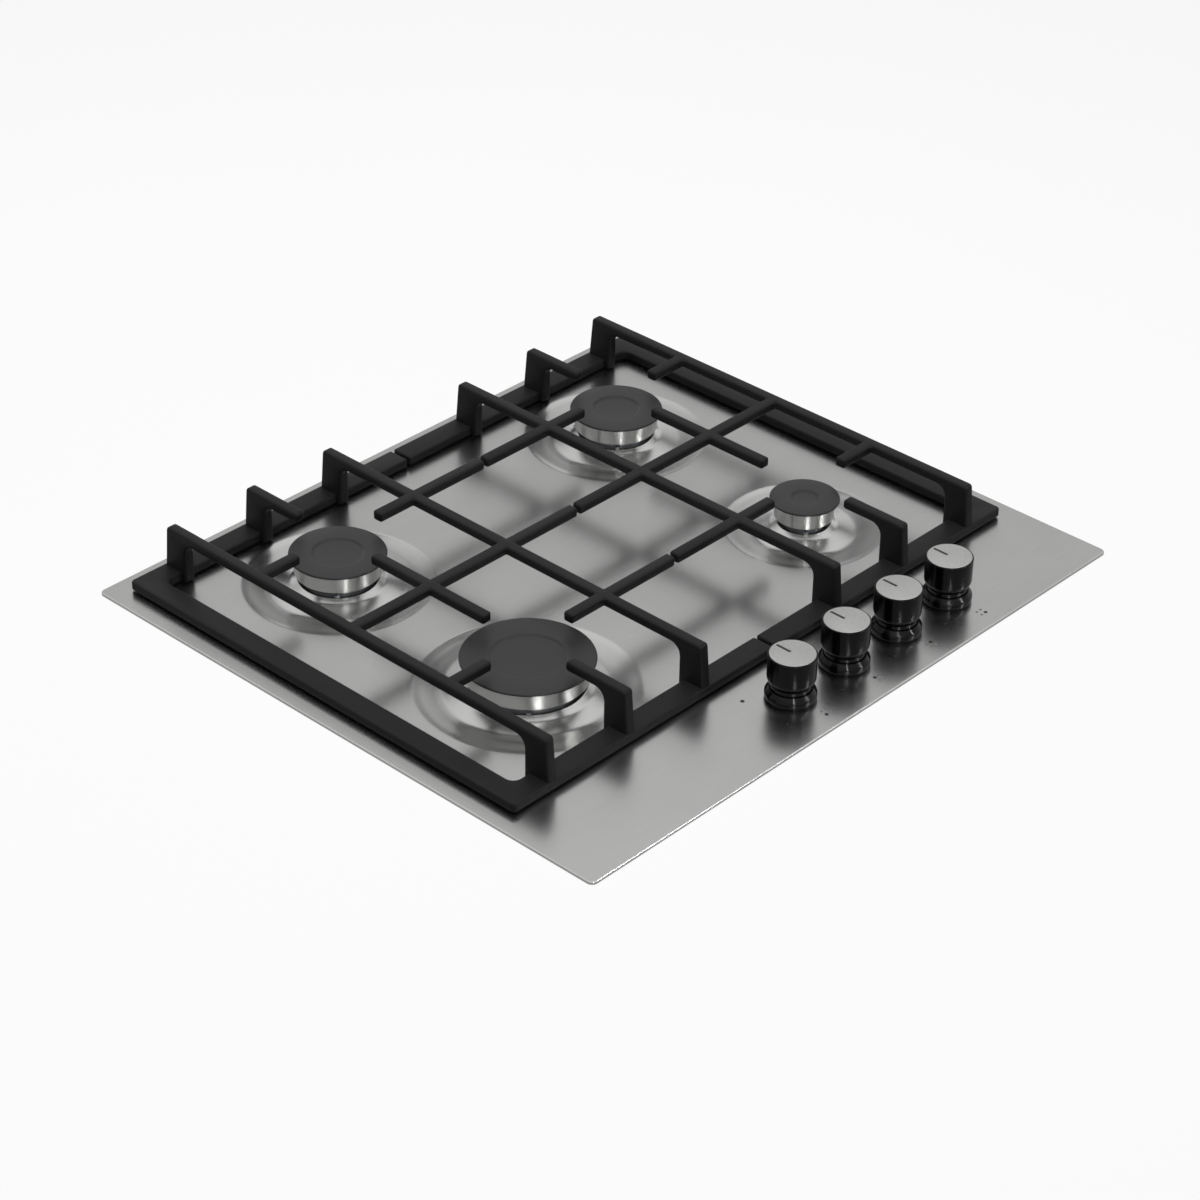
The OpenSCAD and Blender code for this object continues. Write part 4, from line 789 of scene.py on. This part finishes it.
class BuildStage(bpy.types.Operator):
    """White worktop with the cut-out that the cooktop drops into, studio lamps and camera"""
    bl_idname = "cooktop.build_stage"
    bl_label = "Build Stage"

    def execute(self, context):
        s = sizes()
        # The worktop meets the seal under the rim; its cut-out is given by halves
        level = s.plate_top - s.rim_height - 0.35 * MM
        reach, cut_w, cut_d = 30, 278 * MM, 243 * MM
        rest()
        bpy.ops.mesh.primitive_plane_add(size=2 * reach, location=(0, 0, level))
        worktop = context.object
        worktop.name = "worktop"
        bpy.ops.object.mode_set(mode="EDIT")
        bpy.ops.mesh.select_all(action="SELECT")
        bpy.ops.mesh.inset(thickness=reach - cut_w)
        bpy.ops.transform.resize(value=(1, cut_d / cut_w, 1), center_override=(0, 0, 0))
        bpy.ops.mesh.delete(type="FACE")
        bpy.ops.object.mode_set(mode="OBJECT")
        settle(worktop)
        made, tree, shader = material("white_worktop", {
            "Base Color": (1, 1, 1, 1), "Roughness": 0.9, "Specular IOR Level": 0})
        seen = add_node(tree, "ShaderNodeLightPath")
        clear = add_node(tree, "ShaderNodeMath", {"operation": "MULTIPLY_ADD"}, {
            0: seen.outputs["Is Glossy Ray"], 1: 0.4, 2: seen.outputs["Is Camera Ray"]})
        glow = add_node(tree, "ShaderNodeEmission", {}, {
            "Color": (1, 1, 1, 1), "Strength": clear.outputs[0]})
        lit = add_node(tree, "ShaderNodeMixShader", {}, {
            0: 0.85, 1: shader.outputs[0], 2: glow.outputs[0]})
        tree.links.new(lit.outputs[0], tree.nodes["Material Output"].inputs["Surface"])
        worktop.data.materials.append(made)

        world = context.scene.world or bpy.data.worlds.new("studio")
        context.scene.world = world
        world.use_nodes = True
        tree = world.node_tree
        tree.nodes.clear()
        seen = add_node(tree, "ShaderNodeLightPath")
        first = add_node(tree, "ShaderNodeMath", {"operation": "MAXIMUM"}, {
            0: seen.outputs["Is Camera Ray"], 1: seen.outputs["Is Glossy Ray"]})
        clear = add_node(tree, "ShaderNodeMath", {"operation": "MAXIMUM"}, {
            0: first.outputs[0], 1: seen.outputs["Is Transmission Ray"]})
        # What metal mirrors: a backdrop that is white low down, grey above it and white overhead
        place = add_node(tree, "ShaderNodeTexCoord")
        split = add_node(tree, "ShaderNodeSeparateXYZ", {}, {"Vector": place.outputs["Generated"]})
        low_down = add_node(tree, "ShaderNodeMapRange", {"interpolation_type": "SMOOTHSTEP"}, {
            "Value": split.outputs["Z"],
            "From Min": 0.2, "From Max": 0.52, "To Min": 1.0, "To Max": 0.53})
        overhead = add_node(tree, "ShaderNodeMapRange", {"interpolation_type": "SMOOTHSTEP"}, {
            "Value": split.outputs["Z"],
            "From Min": 0.5, "From Max": 0.7, "To Min": 0.0, "To Max": 0.48})
        mirrored = add_node(tree, "ShaderNodeMath", {"operation": "ADD"}, {
            0: low_down.outputs["Result"], 1: overhead.outputs["Result"]})
        # Light that has already left a matt face gets the plain level, so no sheet adds to it
        direct = add_node(tree, "ShaderNodeMath", {"operation": "LESS_THAN"}, {
            0: seen.outputs["Diffuse Depth"], 1: 0.5})
        shown = add_node(tree, "ShaderNodeMath", {"operation": "MULTIPLY"}, {
            0: clear.outputs[0], 1: direct.outputs[0]})
        bright = add_node(tree, "ShaderNodeMix", {"data_type": "FLOAT"}, {
            0: seen.outputs["Is Camera Ray"], 2: mirrored.outputs[0], 3: 1.0})
        strength = add_node(tree, "ShaderNodeMix", {"data_type": "FLOAT"}, {
            0: shown.outputs[0], 2: 0.16, 3: bright.outputs[0]})
        sky = add_node(tree, "ShaderNodeBackground", {}, {
            "Color": (1, 1, 1, 1), "Strength": strength.outputs[0]})
        add_node(tree, "ShaderNodeOutputWorld", {}, {"Surface": sky.outputs[0]})

        lamps = (
            ("top_softbox", (-0.15, 0.1, 1.95), 1.6, 1.6, 30),
            ("front_left_strip", (-0.95, -1.6, 1.1), 0.06, 1.3, 11),
            ("front_right_strip", (0.85, -1.65, 1.1), 0.06, 1.3, 11),
        )
        for name, place, wide, tall, power in lamps:
            lamp = bpy.data.lights.new(name, "AREA")
            lamp.shape, lamp.size, lamp.size_y, lamp.energy = "RECTANGLE", wide, tall, power
            holder = bpy.data.objects.new(name, lamp)
            context.collection.objects.link(holder)
            holder.location = place
            # The strips only draw gleams on bright metal and lacquer; the softbox lights matt faces
            holder.visible_diffuse = name == "top_softbox"
            holder.visible_glossy = name != "top_softbox"
            holder.rotation_mode = "QUATERNION"
            aim = Vector(place) - Vector((0, 0, s.plate_top))
            holder.rotation_quaternion = aim.to_track_quat("Z", "Y")

        # The photograph's view: direction from the cooktop, distance, shift and focal length
        azimuth, elevation, roll = (math.radians(a) for a in (-47.32, 33.04, 0.91))
        distance, shift_right, shift_up = 2442.92 * MM, -7.4 * MM, -22.3 * MM
        focal_pixels, photo_pixels = 3202.87, 1200
        back = Vector((math.sin(azimuth) * math.cos(elevation),
                       -math.cos(azimuth) * math.cos(elevation), math.sin(elevation)))
        right = (-back).cross(Vector((0, 0, 1))).normalized()
        up = right.cross(-back)
        right, up = (math.cos(roll) * right + math.sin(roll) * up,
                     math.cos(roll) * up - math.sin(roll) * right)
        lens = bpy.data.cameras.new("photo_camera")
        lens.sensor_width = 36
        lens.lens = focal_pixels / photo_pixels * lens.sensor_width
        lens.clip_start, lens.clip_end = 0.1, 50
        camera = bpy.data.objects.new("photo_camera", lens)
        context.collection.objects.link(camera)
        place = (back * distance + right * shift_right + up * shift_up
                 + Vector((0, 0, s.plate_top)))
        camera.matrix_world = Matrix((
            (right.x, up.x, back.x, place.x), (right.y, up.y, back.y, place.y),
            (right.z, up.z, back.z, place.z), (0, 0, 0, 1)))
        context.scene.camera = camera
        context.scene.view_settings.view_transform = "Standard"
        return {"FINISHED"}


OPERATORS = (
    BuildPlate, BuildGrates, BuildCaps, BuildBurnerRings, BuildKnobs, BuildKnobRings,
    BuildMarks, FinishFrameParts, BuildStage,
)


class CooktopPanel(bpy.types.Panel):
    """Sizes, colours and the steps that build the cooktop"""
    bl_idname = "VIEW3D_PT_cooktop"
    bl_label = "Gas Cooktop"
    bl_space_type = "VIEW_3D"
    bl_region_type = "UI"
    bl_category = "Cooktop"

    def draw(self, context):
        for group in (context.scene.cooktop_sizes, context.scene.cooktop_colours):
            box = self.layout.box()
            for key in group.__annotations__:
                box.prop(group, key)
        for step in OPERATORS:
            self.layout.operator(step.bl_idname)


CLASSES = (CooktopSizes, CooktopColours) + OPERATORS + (CooktopPanel,)


def register():
    for cls in CLASSES:
        bpy.utils.register_class(cls)
    bpy.types.Scene.cooktop_sizes = bpy.props.PointerProperty(type=CooktopSizes)
    bpy.types.Scene.cooktop_colours = bpy.props.PointerProperty(type=CooktopColours)


def unregister():
    del bpy.types.Scene.cooktop_colours
    del bpy.types.Scene.cooktop_sizes
    for cls in reversed(CLASSES):
        bpy.utils.unregister_class(cls)


def main():
    register()
    FINISHES.update(make_finishes())
    for step in OPERATORS:
        group, name = step.bl_idname.split(".")
        getattr(getattr(bpy.ops, group), name)()


if __name__ == "__main__":
    main()
